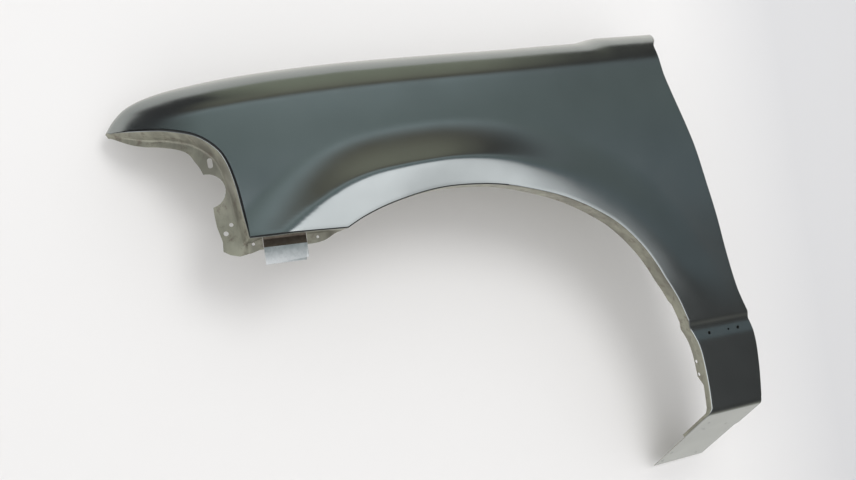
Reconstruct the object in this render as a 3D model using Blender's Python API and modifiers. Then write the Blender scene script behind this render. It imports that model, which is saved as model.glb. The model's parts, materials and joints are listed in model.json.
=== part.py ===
"""Front left fender of a sport utility vehicle: one steel stamping with its flanges, a tab bracket
welded on below the headlamp corner, and three weld nuts behind the leg.

Metres, +Z up, +X to the rear of the vehicle, +Y towards its middle. The panel is drawn about the
wheel centre, in the plane of its outermost point, and an empty carries it to the row's origin,
which lies on the underside of the flange that is bolted to the wing rail.
"""
import math

import bmesh
import bpy
from mathutils import Matrix, Vector

# Sheet metal
SHEET = 0.0008
FOLD_RADIUS = 0.0025
SEAT_GAP = 0.0003
PROBE = 0.0004

# Wheel arch
ARCH_RADIUS = 0.4095
ARCH_BULGE = 0.0115
ARCH_BULGE_SHARES = (
    (-0.060, 0.30), (-0.006, 0.35), (0.021, 0.43), (0.042, 0.51), (0.061, 0.60), (0.085, 0.45),
    (0.104, 0.09), (0.139, 0.26), (0.172, 0.30), (0.191, 0.52), (0.228, 0.87), (0.270, 1.0),
    (0.307, 0.74), (0.352, 0.39), (0.418, -0.05), (0.482, -0.04), (0.537, 0.13), (0.578, 0.22),
    (0.620, 0.45), (0.645, 0.56), (0.700, 0.60),
)
ARCH_FRONT_FROM = math.radians(95)
ARCH_FRONT_TO = math.radians(116)
ARCH_TOP_ANGLE = math.radians(90)
ARCH_CORNER_ANGLE = math.radians(67)

# Flare round the arch: a lip band that faces down, a rounded ridge, and a slope up to the body side
RIDGE_OFFSET = 0.045
RIDGE_FRONT_GAIN = 0.012
LIP_SETBACK = 0.012
FLARE_DEPTH = 0.020
FLARE_REACH = 0.066
FLARE_EASE = 1.6
RIDGE_ROUNDING = 0.0016
FLARE_FADE_TOP = 0.260
FLARE_FADE_FOOT = 0.100

# Outline, from the arch: the nose tip, the headlamp corner and the hood line
TIP_AHEAD = 0.1085
TIP_ABOVE = 0.154
TIP_X = -(ARCH_RADIUS + TIP_AHEAD)
TIP_Z = ARCH_RADIUS + TIP_ABOVE
SILL_SHARE = 0.8913
LAMP_CORNER_SHARE = 0.850
LAMP_CORNER_RISE = 0.0035
LAMP_CORNER_X = -ARCH_RADIUS * LAMP_CORNER_SHARE
SILL_FRONT_Z = ARCH_RADIUS * SILL_SHARE
LAMP_CORNER_Z = SILL_FRONT_Z + LAMP_CORNER_RISE
HOOD_REAR_BEHIND = 0.075
HOOD_REAR_ABOVE = 0.261
HOOD_REAR_X = ARCH_RADIUS + HOOD_REAR_BEHIND
HOOD_REAR_Z = ARCH_RADIUS + HOOD_REAR_ABOVE
KICK_RISE = 0.008
KICK_SHARES = (0.801, 0.856)
HOOD_LINE_SHARES = (
    (0.0, 0.0), (0.010, 0.136), (0.031, 0.311), (0.068, 0.447), (0.118, 0.544), (0.173, 0.612),
    (0.299, 0.700), (0.470, 0.786), (0.661, 0.864), (0.764, 0.913), (1.0, 1.0),
)
LAMP_EDGE_SHARES = (
    (0.0, 0.0), (0.0, 0.050), (0.018, 0.215), (0.058, 0.384), (0.118, 0.509), (0.224, 0.599),
    (0.344, 0.658), (0.499, 0.699), (0.665, 0.735), (0.776, 0.764), (0.888, 0.802), (0.941, 0.836),
    (0.970, 0.867), (1.0, 1.0),
)

# Body side seen from above, swept in towards the nose, and leaning in above the arch
SWEEP_LENGTH = 0.418
SWEEP_DEPTH = 0.0786
NOSE_LENGTH = 0.158
NOSE_DEPTH = 0.064
TUMBLE_SPAN = 0.1765
TUMBLE_DEPTH = 0.010

# Shoulder that rolls over to the hood gap
ROLL_HEIGHT = 0.065
ROLL_WIDTH = 0.095
ROLL_TIP_WIDTH = 0.020
ROLL_TAPER_AHEAD = 0.022
ROLL_TAPER_LENGTH = 0.180
ROLL_GIRTH = 0.120
ROLL_TURN = math.radians(84)

# Rear edge, from the foot of the leg up to the hood line, between its two extremes
NECK_WIDTH = 0.019
LEG_WIDTH = 0.130
NECK_REAR_X = ARCH_RADIUS + NECK_WIDTH
LEG_REAR_X = ARCH_RADIUS + LEG_WIDTH
REAR_EDGE_SHARES = (
    (0.0, 0.928), (0.029, 0.955), (0.085, 0.991), (0.123, 1.0), (0.163, 0.964), (0.192, 0.919),
    (0.212, 0.856), (0.270, 0.712), (0.357, 0.622), (0.444, 0.590), (0.533, 0.477), (0.620, 0.383),
    (0.664, 0.279), (0.708, 0.189), (0.761, 0.086), (0.812, 0.0135), (0.849, 0.0), (0.881, 0.018),
    (0.920, 0.189), (1.0, 0.5045),
)

# Leg behind the wheel, with its step
LEG_TOP_Z = 0.176
LEG_KNEE_Z = 0.152
STEP_TOP_Z = 0.137
STEP_FOOT_Z = 0.119
STEP_DEPTH = 0.008
LEG_FOOT_Z = -0.022
LEG_SLANT_SHARE = 0.044

# Foot plate, bent in below the leg
FOOT_BEND_RADIUS = 0.018
FOOT_BEND_TURN = math.radians(58.6)
FOOT_PLATE_LENGTH = 0.209
FOOT_FRONT_IN = 0.002
FOOT_REAR_IN = 0.006
FOOT_NOTCH_IN = 0.005
FOOT_NOTCH_SHARES = (0.36, 0.39)

# Flange of the wheel arch, which runs on along the foot plate
ARCH_FLANGE_DEPTH = 0.021
ARCH_FLANGE_TILT = math.radians(8)
ARCH_FLANGE_LEAN_LOW = math.radians(12)
ARCH_FLANGE_LEAN_MOST = math.radians(45)
ARCH_FLANGE_LEAN_HIGH = math.radians(80)
LEG_FLANGE_TILT = math.radians(2)
LEG_FLANGE_DEPTH = 0.0095
FOOT_FLANGE_DEPTH = 0.003
FLANGE_NOTCH_FOOT_Z = 0.168
FLANGE_NOTCH_IN = 0.004
LEG_FLANGE_TOP_Z = 0.033
LEG_FLANGE_FOOT_Z = 0.018
FOOT_FLANGE_SHARE = 0.40

# Joggled flange round the headlamp opening and along the front lower edge
LAMP_WALL_DEPTH = 0.022
LAMP_WALL_TILT = math.radians(12)
BRACKET_SHARE = 0.13
LAMP_LIP_WIDTH = 0.028
LAMP_LIP_SLOPE = 0.3
FRONT_LIP_WIDTH = 0.014
LAMP_CORNER_SHARES = (0.12, 0.24, 0.40, 0.65)
LAMP_LIP_SHARES = (
    (0.0, 0.02), (0.10, 0.12), (0.20, 0.25), (0.36, 0.26), (0.40, 0.30), (0.45, 0.42), (0.50, 0.64),
    (0.55, 0.76), (0.60, 0.82), (0.80, 0.90), (1.0, 1.0),
)
TIP_SHARE = 0.30
LAMP_WALL_SHARES = ((0.0, 0.05), (0.16, 0.55), (0.30, 1.0), (1.0, 1.0))
TIP_FOLD_SHARES = ((0.0, 0.5), (0.20, 1.0), (1.0, 1.0))

# Gutter and flange bolted to the wing rail
RAIL_BREAK_SHARE = 0.537
RAIL_DROP = 0.0355
RAIL_SLOPE_SHARE = 0.087
RAIL_WIDTH = 0.034
RAIL_START_SHARE = 0.045
RAIL_TAPER_SHARE = 0.10

# Flange in the door gap
DOOR_FLANGE_DEPTH = 0.013
DOOR_FLANGE_TOP_SHARE = 0.45

# Where the fender is held: a point on the rail flange
MOUNT_SHARE = 0.676

# Holes
RAIL_HOLE_RADIUS = 0.0045
RAIL_HOLE_SHARES = (0.158, 0.317, 0.477, 0.616, 0.756, 0.900)
LEG_HOLE_Z = 0.1075
LEG_HOLE_RADIUS = 0.0030
LEG_HOLE_SHARES = ((0.248, 1.0), (0.589, 0.67), (0.761, 1.0))
ARCH_HOLE_Z = 0.060
ARCH_HOLE_PITCH = 0.023
ARCH_HOLE_RADIUS = 0.0030
ARCH_HOLE_DEPTH_IN = 0.0355
FOOT_HOLE_RADIUS = 0.0025
FOOT_HOLE_SHARES = (
    (0.242, 0.290, 1.0), (0.210, 0.165, 0.7), (0.671, 0.290, 1.0), (0.099, 0.740, 1.0),
    (0.083, 0.910, 1.0), (0.770, 0.910, 1.2),
)
LAMP_SLOT_AHEAD = 0.036
LAMP_SLOT_ABOVE = 0.1195
LAMP_SLOT_RADIUS = 0.0036
LAMP_SLOT_HALF_RUN = 0.0042
LAMP_HOLE_AHEAD = 0.018
LAMP_HOLE_ABOVE = 0.023
LAMP_HOLE_RADIUS = 0.0030
LOCATOR_AHEAD = 0.0275
LOCATOR_ABOVE = 0.0105
LOCATOR_RADIUS = 0.0036
BITE_AHEAD = 0.045
BITE_ABOVE = 0.0775
BITE_RADIUS = 0.026
FRONT_HOLE_SHARES = (0.057, 0.713)
FRONT_HOLE_RADIUS = 0.0022
FRONT_HOLE_DROP = 0.0070
CUTTER_REACH = 0.030
CUTTER_DEPTH = 0.010

# Bracket below the headlamp corner
BRACKET_INSET = 0.0215
BRACKET_WIDTH = 0.0625
BRACKET_SHEET = 0.0012
BRACKET_RADIUS = 0.0020
BRACKET_TAB = 0.022
BRACKET_NOTCH = 0.0095
BRACKET_UPPER_DROP = 0.013
BRACKET_UPPER_OUT = 0.008
BRACKET_PLATE_DROP = 0.0255
BRACKET_PLATE_OUT = 0.002
BRACKET_CORNER = 0.004
BRACKET_CLEARANCE = 0.0030
BRACKET_SIDE_GAP = 0.0005

# Weld nuts behind the leg
NUT_RADIUS = 0.0062
NUT_HEIGHT = 0.0055
NUT_BORE_SHARE = 0.72

# How finely the forms are divided
FRONT_COLUMNS = 12
ARCH_FRONT_COLUMNS = 11
ARCH_REAR_COLUMNS = 10
BODY_COLUMNS = 16
STEP_COLUMNS = 4
LEG_COLUMNS = 4
BEND_COLUMNS = 4
PLATE_COLUMNS = 8
NEAR_ROW_SHARES = (0.0, 0.055, 0.105, 0.130, 0.147, 0.166, 0.200, 0.260, 0.340)
FAR_ROWS = 12
HOLE_SIDES = 10


def ease(share):
    """A share between 0 and 1, eased at both ends."""
    share = min(max(share, 0.0), 1.0)
    return share * share * (3.0 - 2.0 * share)


def through(pairs, at):
    """The value at a place on a smooth curve through (place, value) pairs, with no overshoot."""
    places = [pair[0] for pair in pairs]
    values = [pair[1] for pair in pairs]
    at = min(max(at, places[0]), places[-1])
    last = len(pairs) - 2
    k = max(i for i in range(last + 1) if places[i] <= at or i == 0)
    steps = [places[i + 1] - places[i] for i in range(last + 1)]
    slopes = [(values[i + 1] - values[i]) / steps[i] for i in range(last + 1)]

    def tangent(i):
        if i == 0:
            return slopes[0]
        if i == last + 1:
            return slopes[last]
        before, after = slopes[i - 1], slopes[i]
        if before * after <= 0.0:
            return 0.0
        return 2.0 * before * after / (before + after)

    t = (at - places[k]) / steps[k]
    rise = steps[k]
    return ((1 + 2 * t) * (1 - t) ** 2 * values[k] + t * (1 - t) ** 2 * rise * tangent(k)
            + t * t * (3 - 2 * t) * values[k + 1] + t * t * (t - 1) * rise * tangent(k + 1))


def arch_radius(angle):
    """Radius of the arch lip at an angle above the rearward horizontal."""
    return ARCH_RADIUS + ARCH_BULGE * through(ARCH_BULGE_SHARES, angle / math.pi)


def flare(x, z):
    """Depth of the flare behind its ridge: the lip band, the rounded ridge and the slope above."""
    angle = math.atan2(z, x)
    out = math.hypot(x, z) - arch_radius(angle)
    front = ease((angle - ARCH_FRONT_FROM) / (ARCH_FRONT_TO - ARCH_FRONT_FROM))
    ridge = RIDGE_OFFSET + RIDGE_FRONT_GAIN * front
    band = LIP_SETBACK * (ridge - out) / ridge
    share = (out - ridge) / FLARE_REACH
    if share <= 0.0:
        slope = FLARE_DEPTH * FLARE_EASE * share
    else:
        slope = FLARE_DEPTH * (1.0 - max(1.0 - share, 0.0) ** FLARE_EASE)
    split = math.hypot(band - slope, 2.0 * RIDGE_ROUNDING)
    return (band + slope + split) / 2.0 - RIDGE_ROUNDING


def side_depth(x, z):
    """Depth of the body side behind the outermost plane."""
    sweep = max(TIP_X + SWEEP_LENGTH - x, 0.0) / SWEEP_LENGTH
    nose = max(TIP_X + NOSE_LENGTH - x, 0.0) / NOSE_LENGTH
    tumble = max(z - ARCH_RADIUS, 0.0) / TUMBLE_SPAN
    flared = ease((z - FLARE_FADE_FOOT) / (FLARE_FADE_TOP - FLARE_FADE_FOOT))
    leg = LIP_SETBACK + LEG_SLANT_SHARE * (x - ARCH_RADIUS)
    step = STEP_DEPTH * ease((STEP_TOP_Z - z) / (STEP_TOP_Z - STEP_FOOT_Z))
    depth = SWEEP_DEPTH * sweep ** 2 + NOSE_DEPTH * nose ** 2 + TUMBLE_DEPTH * tumble ** 2
    if flared > 0.0:
        depth += flared * flare(x, z)
    return depth + (1.0 - flared) * leg + step


def hood_height(x):
    """Height of the hood line, where the shoulder ends."""
    share = (x - TIP_X) / (HOOD_REAR_X - TIP_X)
    kick = KICK_RISE * ease((share - KICK_SHARES[0]) / (KICK_SHARES[1] - KICK_SHARES[0]))
    return TIP_Z + (HOOD_REAR_Z - TIP_Z) * through(HOOD_LINE_SHARES, share) + kick


def shoulder_height(x):
    """Height at which the body side starts to roll over."""
    return hood_height(x) - ROLL_HEIGHT * math.sin(ROLL_TURN)


def roll_width(x):
    """How far in the shoulder rolls, which narrows towards the nose tip."""
    share = ease((x - TIP_X + ROLL_TAPER_AHEAD) / ROLL_TAPER_LENGTH)
    return ROLL_TIP_WIDTH + (ROLL_WIDTH - ROLL_TIP_WIDTH) * share


def skin(x, girth):
    """A point of the skin from its length along the vehicle and its height along the sheet."""
    start = shoulder_height(x)
    if girth <= start:
        return Vector((x, side_depth(x, girth), girth))
    turn = ROLL_TURN * (girth - start) / ROLL_GIRTH
    z = start + ROLL_HEIGHT * math.sin(turn)
    return Vector((x, side_depth(x, z) + roll_width(x) * (1.0 - math.cos(turn)), z))


def hood_edge(x):
    """The hood line in the plane of the flattened sheet."""
    return Vector((x, shoulder_height(x) + ROLL_GIRTH))


def lamp_edge(share):
    """The headlamp edge in that plane, from the lower corner to the nose tip."""
    tip = hood_edge(TIP_X)
    runs = [0.0]
    for before, after in zip(LAMP_EDGE_SHARES, LAMP_EDGE_SHARES[1:]):
        runs.append(runs[-1] + math.hypot(after[0] - before[0], after[1] - before[1]))
    along = share * runs[-1]
    forward = through([(run, point[0]) for run, point in zip(runs, LAMP_EDGE_SHARES)], along)
    rise = through([(run, point[1]) for run, point in zip(runs, LAMP_EDGE_SHARES)], along)
    return Vector((LAMP_CORNER_X + (TIP_X - LAMP_CORNER_X) * forward,
                   LAMP_CORNER_Z + (tip.y - LAMP_CORNER_Z) * rise))


def rear_edge(girth):
    """The rear edge in that plane, at a height along the sheet."""
    top = hood_edge(HOOD_REAR_X).y
    share = through(REAR_EDGE_SHARES, (girth - LEG_FOOT_Z) / (top - LEG_FOOT_Z))
    x = NECK_REAR_X + (LEG_REAR_X - NECK_REAR_X) * share
    return Vector((x, girth))


def arch_edge(angle):
    """The arch lip in that plane, short of it by the fold of the flange."""
    radius = arch_radius(angle) + FOLD_RADIUS
    return Vector((radius * math.cos(angle), radius * math.sin(angle)))


def arch_angle_at(z):
    """The angle at which the rear half of the arch lip reaches a height."""
    angle = 0.0
    for _ in range(30):
        angle = math.asin(z / (arch_radius(angle) + FOLD_RADIUS))
    return angle


def arch_front_angle():
    """The angle at which the arch meets the front lower edge."""
    angle = ARCH_FRONT_TO
    for _ in range(30):
        angle = math.pi - math.asin(SILL_FRONT_Z / (arch_radius(angle) + FOLD_RADIUS))
    return angle


def section(inner, outer, bow):
    """Points of one section of the skin, from the arch side to the hood or door side."""
    span = (outer - inner).length
    reference = hood_edge(0.0).y - ARCH_RADIUS
    near = [share * min(reference / span, 1.0) for share in NEAR_ROW_SHARES]
    shares = near + [near[-1] + (1.0 - near[-1]) * k / FAR_ROWS for k in range(1, FAR_ROWS + 1)]
    corner, tip = lamp_edge(0.0), lamp_edge(1.0)
    points = []
    for share in shares:
        place = inner.lerp(outer, share)
        if bow > 0.0:
            place += bow * (lamp_edge(share) - corner.lerp(tip, share))
        points.append(place)
    return points


def skin_columns():
    """Sections of the skin in the plane of the flattened sheet, from the headlamp edge to the foot."""
    corner = lamp_edge(0.0)
    front_angle = arch_front_angle()
    arch_start = arch_edge(front_angle)
    quarter_x = TIP_X + (HOOD_REAR_X - TIP_X) * (front_angle / math.pi) / 3.0
    columns = []
    for k in range(FRONT_COLUMNS):
        share = k / FRONT_COLUMNS
        outer = hood_edge(TIP_X + (quarter_x - TIP_X) * share ** 1.4)
        columns.append(section(corner.lerp(arch_start, share), outer, 1.0 - ease(share * 0.8)))
    left = 1.0 - ease(0.8)
    for k in range(ARCH_FRONT_COLUMNS):
        share = k / ARCH_FRONT_COLUMNS
        angle = front_angle + (ARCH_TOP_ANGLE - front_angle) * share
        outer = hood_edge(quarter_x * (1.0 - share))
        columns.append(section(arch_edge(angle), outer, left * (1.0 - ease(share * 1.6))))
    for k in range(ARCH_REAR_COLUMNS):
        share = k / ARCH_REAR_COLUMNS
        angle = ARCH_TOP_ANGLE + (ARCH_CORNER_ANGLE - ARCH_TOP_ANGLE) * share
        columns.append(section(arch_edge(angle), hood_edge(HOOD_REAR_X * share), 0.0))
    top, low_angle = hood_edge(HOOD_REAR_X).y, arch_angle_at(LEG_TOP_Z)
    for k in range(BODY_COLUMNS):
        share = k / BODY_COLUMNS
        angle = ARCH_CORNER_ANGLE + (low_angle - ARCH_CORNER_ANGLE) * share
        columns.append(section(arch_edge(angle), rear_edge(top + (LEG_TOP_Z - top) * share), 0.0))
    for z in leg_heights():
        columns.append(section(arch_edge(arch_angle_at(z)), rear_edge(z), 0.0))
    return columns


def leg_heights():
    """Heights of the level sections of the leg, close together over the step."""
    step = STEP_TOP_Z - STEP_FOOT_Z
    heights = [LEG_TOP_Z, FLANGE_NOTCH_FOOT_Z, LEG_KNEE_Z, STEP_TOP_Z]
    heights += [STEP_TOP_Z - step * k / STEP_COLUMNS for k in range(1, STEP_COLUMNS + 1)]
    heights += [STEP_FOOT_Z + (LEG_FLANGE_TOP_Z - STEP_FOOT_Z) * k / LEG_COLUMNS for k in range(1, LEG_COLUMNS)]
    heights += [LEG_FLANGE_TOP_Z, LEG_FLANGE_FOOT_Z, 0.0, LEG_FOOT_Z]
    return heights


def foot_place(share):
    """Depth and drop of the foot below the leg, and its limits in X, at a share of bend and plate."""
    turn = FOOT_BEND_TURN * min(share, 1.0)
    depth = FOOT_BEND_RADIUS * (1.0 - math.cos(turn))
    drop = FOOT_BEND_RADIUS * math.sin(turn)
    run = max(share - 1.0, 0.0)
    depth += FOOT_PLATE_LENGTH * run * math.sin(FOOT_BEND_TURN)
    drop += FOOT_PLATE_LENGTH * run * math.cos(FOOT_BEND_TURN)
    leg_front, leg_rear = arch_edge(arch_angle_at(LEG_FOOT_Z)).x, rear_edge(LEG_FOOT_Z).x
    front = leg_front + (ARCH_RADIUS - FOOT_FRONT_IN - leg_front) * min(share, 1.0)
    rear = leg_rear + (LEG_REAR_X - FOOT_REAR_IN - leg_rear) * ease(share)
    start, end = FOOT_NOTCH_SHARES
    rear -= FOOT_NOTCH_IN * min(max((run - start) / (end - start), 0.0), 1.0)
    return depth, drop, front, rear


def foot_point(share, across):
    """A point of the foot: share runs down the bend and the plate, across from front to rear."""
    depth, drop, front, rear = foot_place(share)
    x = front + (rear - front) * across
    return Vector((x, side_depth(x, LEG_FOOT_Z) + depth, LEG_FOOT_Z - drop))


def foot_shares():
    """Sections of the foot: through the bend, then down the plate with a pair at its notch."""
    shares = [(k + 1) / BEND_COLUMNS for k in range(BEND_COLUMNS)]
    runs = sorted({round(k / PLATE_COLUMNS, 4) for k in range(1, PLATE_COLUMNS + 1)} | set(FOOT_NOTCH_SHARES))
    return shares + [1.0 + run for run in runs]


def foot_inward(share):
    """The inward normal of the foot, which is that of the leg turned through the bend."""
    turn = FOOT_BEND_TURN * min(share, 1.0)
    return Vector((0.0, math.cos(turn), math.sin(turn)))


def turned(start, run, wall, radius, steps):
    """Points of a fold that leaves a point along one direction and ends along another."""
    run, wall = run.normalized(), wall.normalized()
    angle = run.angle(wall)
    across = (wall - run * run.dot(wall)).normalized()
    points = []
    for k in range(1, steps + 1):
        turn = angle * k / steps
        points.append(start + run * (radius * math.sin(turn)) + across * (radius * (1.0 - math.cos(turn))))
    return points


def surface_run(place, outward):
    """Direction in which the skin runs on past its edge, from a step in the flattened plane."""
    step = outward.normalized() * PROBE
    return (skin(place.x, place.y) - skin(place.x - step.x, place.y - step.y)).normalized()


def inward_normal(place):
    """The direction square to the skin on its inner side."""
    level = skin(place.x + PROBE, place.y) - skin(place.x, place.y)
    upward = skin(place.x, place.y + PROBE) - skin(place.x, place.y)
    return upward.cross(level).normalized()


def joggled_rows(start, run, wall, wall_length, lip, lip_length, radius):
    """One section of a joggled flange: fold, wall, fold back and lip."""
    wall, lip = wall.normalized(), lip.normalized()
    points = turned(start, run, wall, radius, 2)
    foot = points[-1] + wall * wall_length
    points.append(foot)
    points += turned(foot, wall, lip, radius, 2)
    points.append(points[-1] + lip * lip_length)
    return points


def plain_rows(start, run, wall, depth):
    """One section of a plain flange: fold and wall, with as many points as a joggled one."""
    wall = wall.normalized()
    points = turned(start, run, wall, FOLD_RADIUS, 2)
    foot = points[-1]
    return points + [foot + wall * (depth * share) for share in (0.25, 0.5, 0.75, 1.0)]


class Sheet:
    """Collects the points and faces of the open sheet."""

    def __init__(self):
        self.points = []
        self.faces = []

    def add(self, point):
        self.points.append(point)
        return len(self.points) - 1

    def band(self, first, second):
        """Faces between two rows of point numbers, with the outer side to the left of the first."""
        for k in range(len(first) - 1):
            ring = [first[k], first[k + 1], second[k + 1], second[k]]
            face = [number for i, number in enumerate(ring) if number != ring[i - 1]]
            if len(face) > 2:
                self.faces.append(face)

    def mesh(self, name):
        mesh = bpy.data.meshes.new(name)
        mesh.from_pydata([tuple(point) for point in self.points], [], self.faces)
        mesh.validate()
        return mesh


def opening_turns(place, run, tilt, tip):
    """Directions of the wall and the lip of the headlamp flange at a place on the edge of the skin.

    The wall stands square to the skin but straight across the vehicle; near the tip the lip only
    carries the wall on.
    """
    inward = inward_normal(place)
    inward = Vector((0.0, inward.y, inward.z)).normalized()
    out = (run - inward * run.dot(inward)).normalized()
    wall = inward * math.cos(tilt) + out * math.sin(tilt)
    lip = (out + Vector((0.0, LAMP_LIP_SLOPE * max(-out.x, 0.0), 0.0))).normalized()
    return wall, lip.slerp(wall, tip)


def lamp_lines(sheet, columns, grid):
    """Sections of the flange from the nose tip down the headlamp edge and round its lower corner."""
    lines = []
    rows = len(columns[0])
    for j in range(rows - 1, -1, -1):
        place = columns[0][j]
        step = columns[0][max(j - 1, 0)] - columns[0][min(j + 1, rows - 1)]
        outward = Vector((step.y, -step.x)).normalized()
        run = surface_run(place, outward)
        share = 1.0 - j / (rows - 1)
        wall, lip = opening_turns(place, run, LAMP_WALL_TILT, 0.85 * (1.0 - ease(share / TIP_SHARE)))
        wall_length = LAMP_WALL_DEPTH * through(LAMP_WALL_SHARES, share)
        lip_length = LAMP_LIP_WIDTH * through(LAMP_LIP_SHARES, share)
        radius = FOLD_RADIUS * through(TIP_FOLD_SHARES, share)
        base = grid[0][j]
        lines.append([base, joggled_rows(sheet.points[base], run, wall, wall_length, lip, lip_length, radius)])
    down = Vector((0.0, -1.0))
    corner = outward.angle(down)
    for share in LAMP_CORNER_SHARES:
        run = surface_run(columns[0][0], outward.slerp(down, share))
        wall, lip = opening_turns(columns[0][0], run, LAMP_WALL_TILT, 0.0)
        angle = corner * share
        spread = min(LAMP_LIP_WIDTH / math.cos(angle), FRONT_LIP_WIDTH / math.sin(angle))
        lines.append([base, joggled_rows(sheet.points[base], run, wall, LAMP_WALL_DEPTH, lip, spread, FOLD_RADIUS)])
    return lines


def inner_flange(sheet, columns, grid):
    """The flange that runs from the nose tip round the headlamp opening, the arch and the foot."""
    lines = lamp_lines(sheet, columns, grid)
    inward, down = Vector((0.0, 1.0, 0.0)), Vector((0.0, 0.0, -1.0))
    for i, column in enumerate(columns):
        place = column[0]
        base = grid[i][0]
        start = sheet.points[base]
        share = i / FRONT_COLUMNS
        if share < 1.0:
            run = surface_run(place, Vector((0.0, -1.0)))
            tilt = LAMP_WALL_TILT * (1.0 - ease(share / BRACKET_SHARE))
            wall = inward * math.cos(tilt) + down * math.sin(tilt)
            lip = down.slerp(inward, 0.9 * ease((share - 0.75) / 0.25))
            reach = FRONT_LIP_WIDTH * (1.0 - 0.6 * ease((share - 0.62) / 0.38))
            lines.append([base, joggled_rows(start, run, wall, LAMP_WALL_DEPTH, lip, reach, FOLD_RADIUS)])
            continue
        run = surface_run(place, -place)
        radial = Vector((-place.x, 0.0, -place.y)).normalized()
        tilt = flange_tilt(math.atan2(place.y, place.x))
        wall = inward * math.cos(tilt) + radial * math.sin(tilt)
        lines.append([base, plain_rows(start, run, wall, arch_flange_depth(place))])
    for i, share in enumerate(foot_shares()):
        if share - 1.0 > FOOT_FLANGE_SHARE:
            break
        base = grid[len(columns) + i][0]
        depth = LEG_FLANGE_DEPTH + (FOOT_FLANGE_DEPTH - LEG_FLANGE_DEPTH) * ease(share)
        lines.append([base, plain_rows(sheet.points[base], Vector((-1.0, 0.0, 0.0)), foot_inward(share), depth)])
    numbered = [[base] + [sheet.add(point) for point in points] for base, points in lines]
    for row in range(len(numbered[0]) - 1):
        sheet.band([line[row + 1] for line in numbered], [line[row] for line in numbered])


def flange_tilt(angle):
    """How far the arch flange leans into the opening, which is most where the arch turns down."""
    rise = ease((angle - ARCH_FLANGE_LEAN_LOW) / (ARCH_FLANGE_LEAN_MOST - ARCH_FLANGE_LEAN_LOW))
    fall = ease((angle - ARCH_FLANGE_LEAN_MOST) / (ARCH_FLANGE_LEAN_HIGH - ARCH_FLANGE_LEAN_MOST))
    return (LEG_FLANGE_TILT + (ARCH_FLANGE_TILT - LEG_FLANGE_TILT) * rise) * (1.0 - fall)


def arch_flange_depth(place):
    """Depth of the arch flange: stepped at its notch, and narrow on the lower leg."""
    if place.x < 0.0 or place.y > LEG_TOP_Z - PROBE:
        return ARCH_FLANGE_DEPTH + FLANGE_NOTCH_IN
    narrow = ease((LEG_FLANGE_TOP_Z - place.y) / (LEG_FLANGE_TOP_Z - LEG_FLANGE_FOOT_Z))
    return ARCH_FLANGE_DEPTH + (LEG_FLANGE_DEPTH - ARCH_FLANGE_DEPTH) * narrow


def hood_place(share):
    """Place in X at a share of the way from the nose tip to the rear end of the hood line."""
    return TIP_X + (HOOD_REAR_X - TIP_X) * share


def rail_height(x):
    """Height of the rail flange: level at the rear, falling to the front of its break."""
    return HOOD_REAR_Z - RAIL_DROP - RAIL_SLOPE_SHARE * max(hood_place(RAIL_BREAK_SHARE) - x, 0.0)


def rail_section(x):
    """The gutter wall below the hood line and the flange that is bolted to the wing rail."""
    edge = hood_edge(x)
    start = skin(edge.x, edge.y)
    run = surface_run(edge, Vector((0.0, 1.0)))
    down, inward = Vector((0.0, 0.0, -1.0)), Vector((0.0, 1.0, 0.0))
    points = turned(start, run, down, FOLD_RADIUS, 3)
    level = rail_height(x)
    wall_foot = Vector((x, points[-1].y, level + FOLD_RADIUS))
    points.append(wall_foot)
    points += turned(wall_foot, down, inward, FOLD_RADIUS, 2)
    share = (x - TIP_X) / (HOOD_REAR_X - TIP_X)
    width = RAIL_WIDTH * (0.3 + 0.7 * ease((share - RAIL_START_SHARE) / RAIL_TAPER_SHARE))
    foot = points[-1]
    points.append(foot + inward * (width / 2.0))
    points.append(foot + inward * width)
    return points


def outer_flanges(sheet, columns, grid):
    """The rail flange along the hood line and the narrow flange in the door gap."""
    lines = []
    corner = FRONT_COLUMNS + ARCH_FRONT_COLUMNS + ARCH_REAR_COLUMNS
    for i in range(corner):
        x = columns[i][-1].x
        if (x - TIP_X) / (HOOD_REAR_X - TIP_X) < RAIL_START_SHARE:
            continue
        lines.append([grid[i][-1]] + [sheet.add(point) for point in rail_section(x)])
    for row in range(len(lines[0]) - 1):
        sheet.band([line[row] for line in lines], [line[row + 1] for line in lines])
    lines = []
    for i in range(corner + 1, len(columns)):
        place = columns[i][-1]
        before, after = columns[i - 1][-1], columns[min(i + 1, len(columns) - 1)][-1]
        step = after - before
        outward = Vector((-step.y, step.x))
        run = surface_run(place, outward)
        inward = inward_normal(place) if place.y > shoulder_height(place.x) else Vector((0.0, 1.0, 0.0))
        share = min((i - corner) / BODY_COLUMNS / DOOR_FLANGE_TOP_SHARE, 1.0)
        depth = DOOR_FLANGE_DEPTH * (0.35 + 0.65 * ease(share))
        points = turned(sheet.points[grid[i][-1]], run, inward, FOLD_RADIUS, 2)
        points.append(points[-1] + inward * depth)
        lines.append([grid[i][-1]] + [sheet.add(point) for point in points])
    for row in range(len(lines[0]) - 1):
        sheet.band([line[row] for line in lines], [line[row + 1] for line in lines])


def panel_mesh():
    """The whole stamping as an open sheet: skin, foot and flanges."""
    sheet = Sheet()
    columns = skin_columns()
    grid = [[sheet.add(skin(place.x, place.y)) for place in column] for column in columns]
    leg = columns[-1]
    span = (leg[-1] - leg[0]).length
    across = [(place - leg[0]).length / span for place in leg]
    for share in foot_shares():
        grid.append([sheet.add(foot_point(share, part)) for part in across])
    for first, second in zip(grid, grid[1:]):
        sheet.band(second, first)
    inner_flange(sheet, columns, grid)
    outer_flanges(sheet, columns, grid)
    return sheet.mesh("fender_panel")


def collection(name):
    group = bpy.data.collections.new(name)
    bpy.context.scene.collection.children.link(group)
    return group


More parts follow.
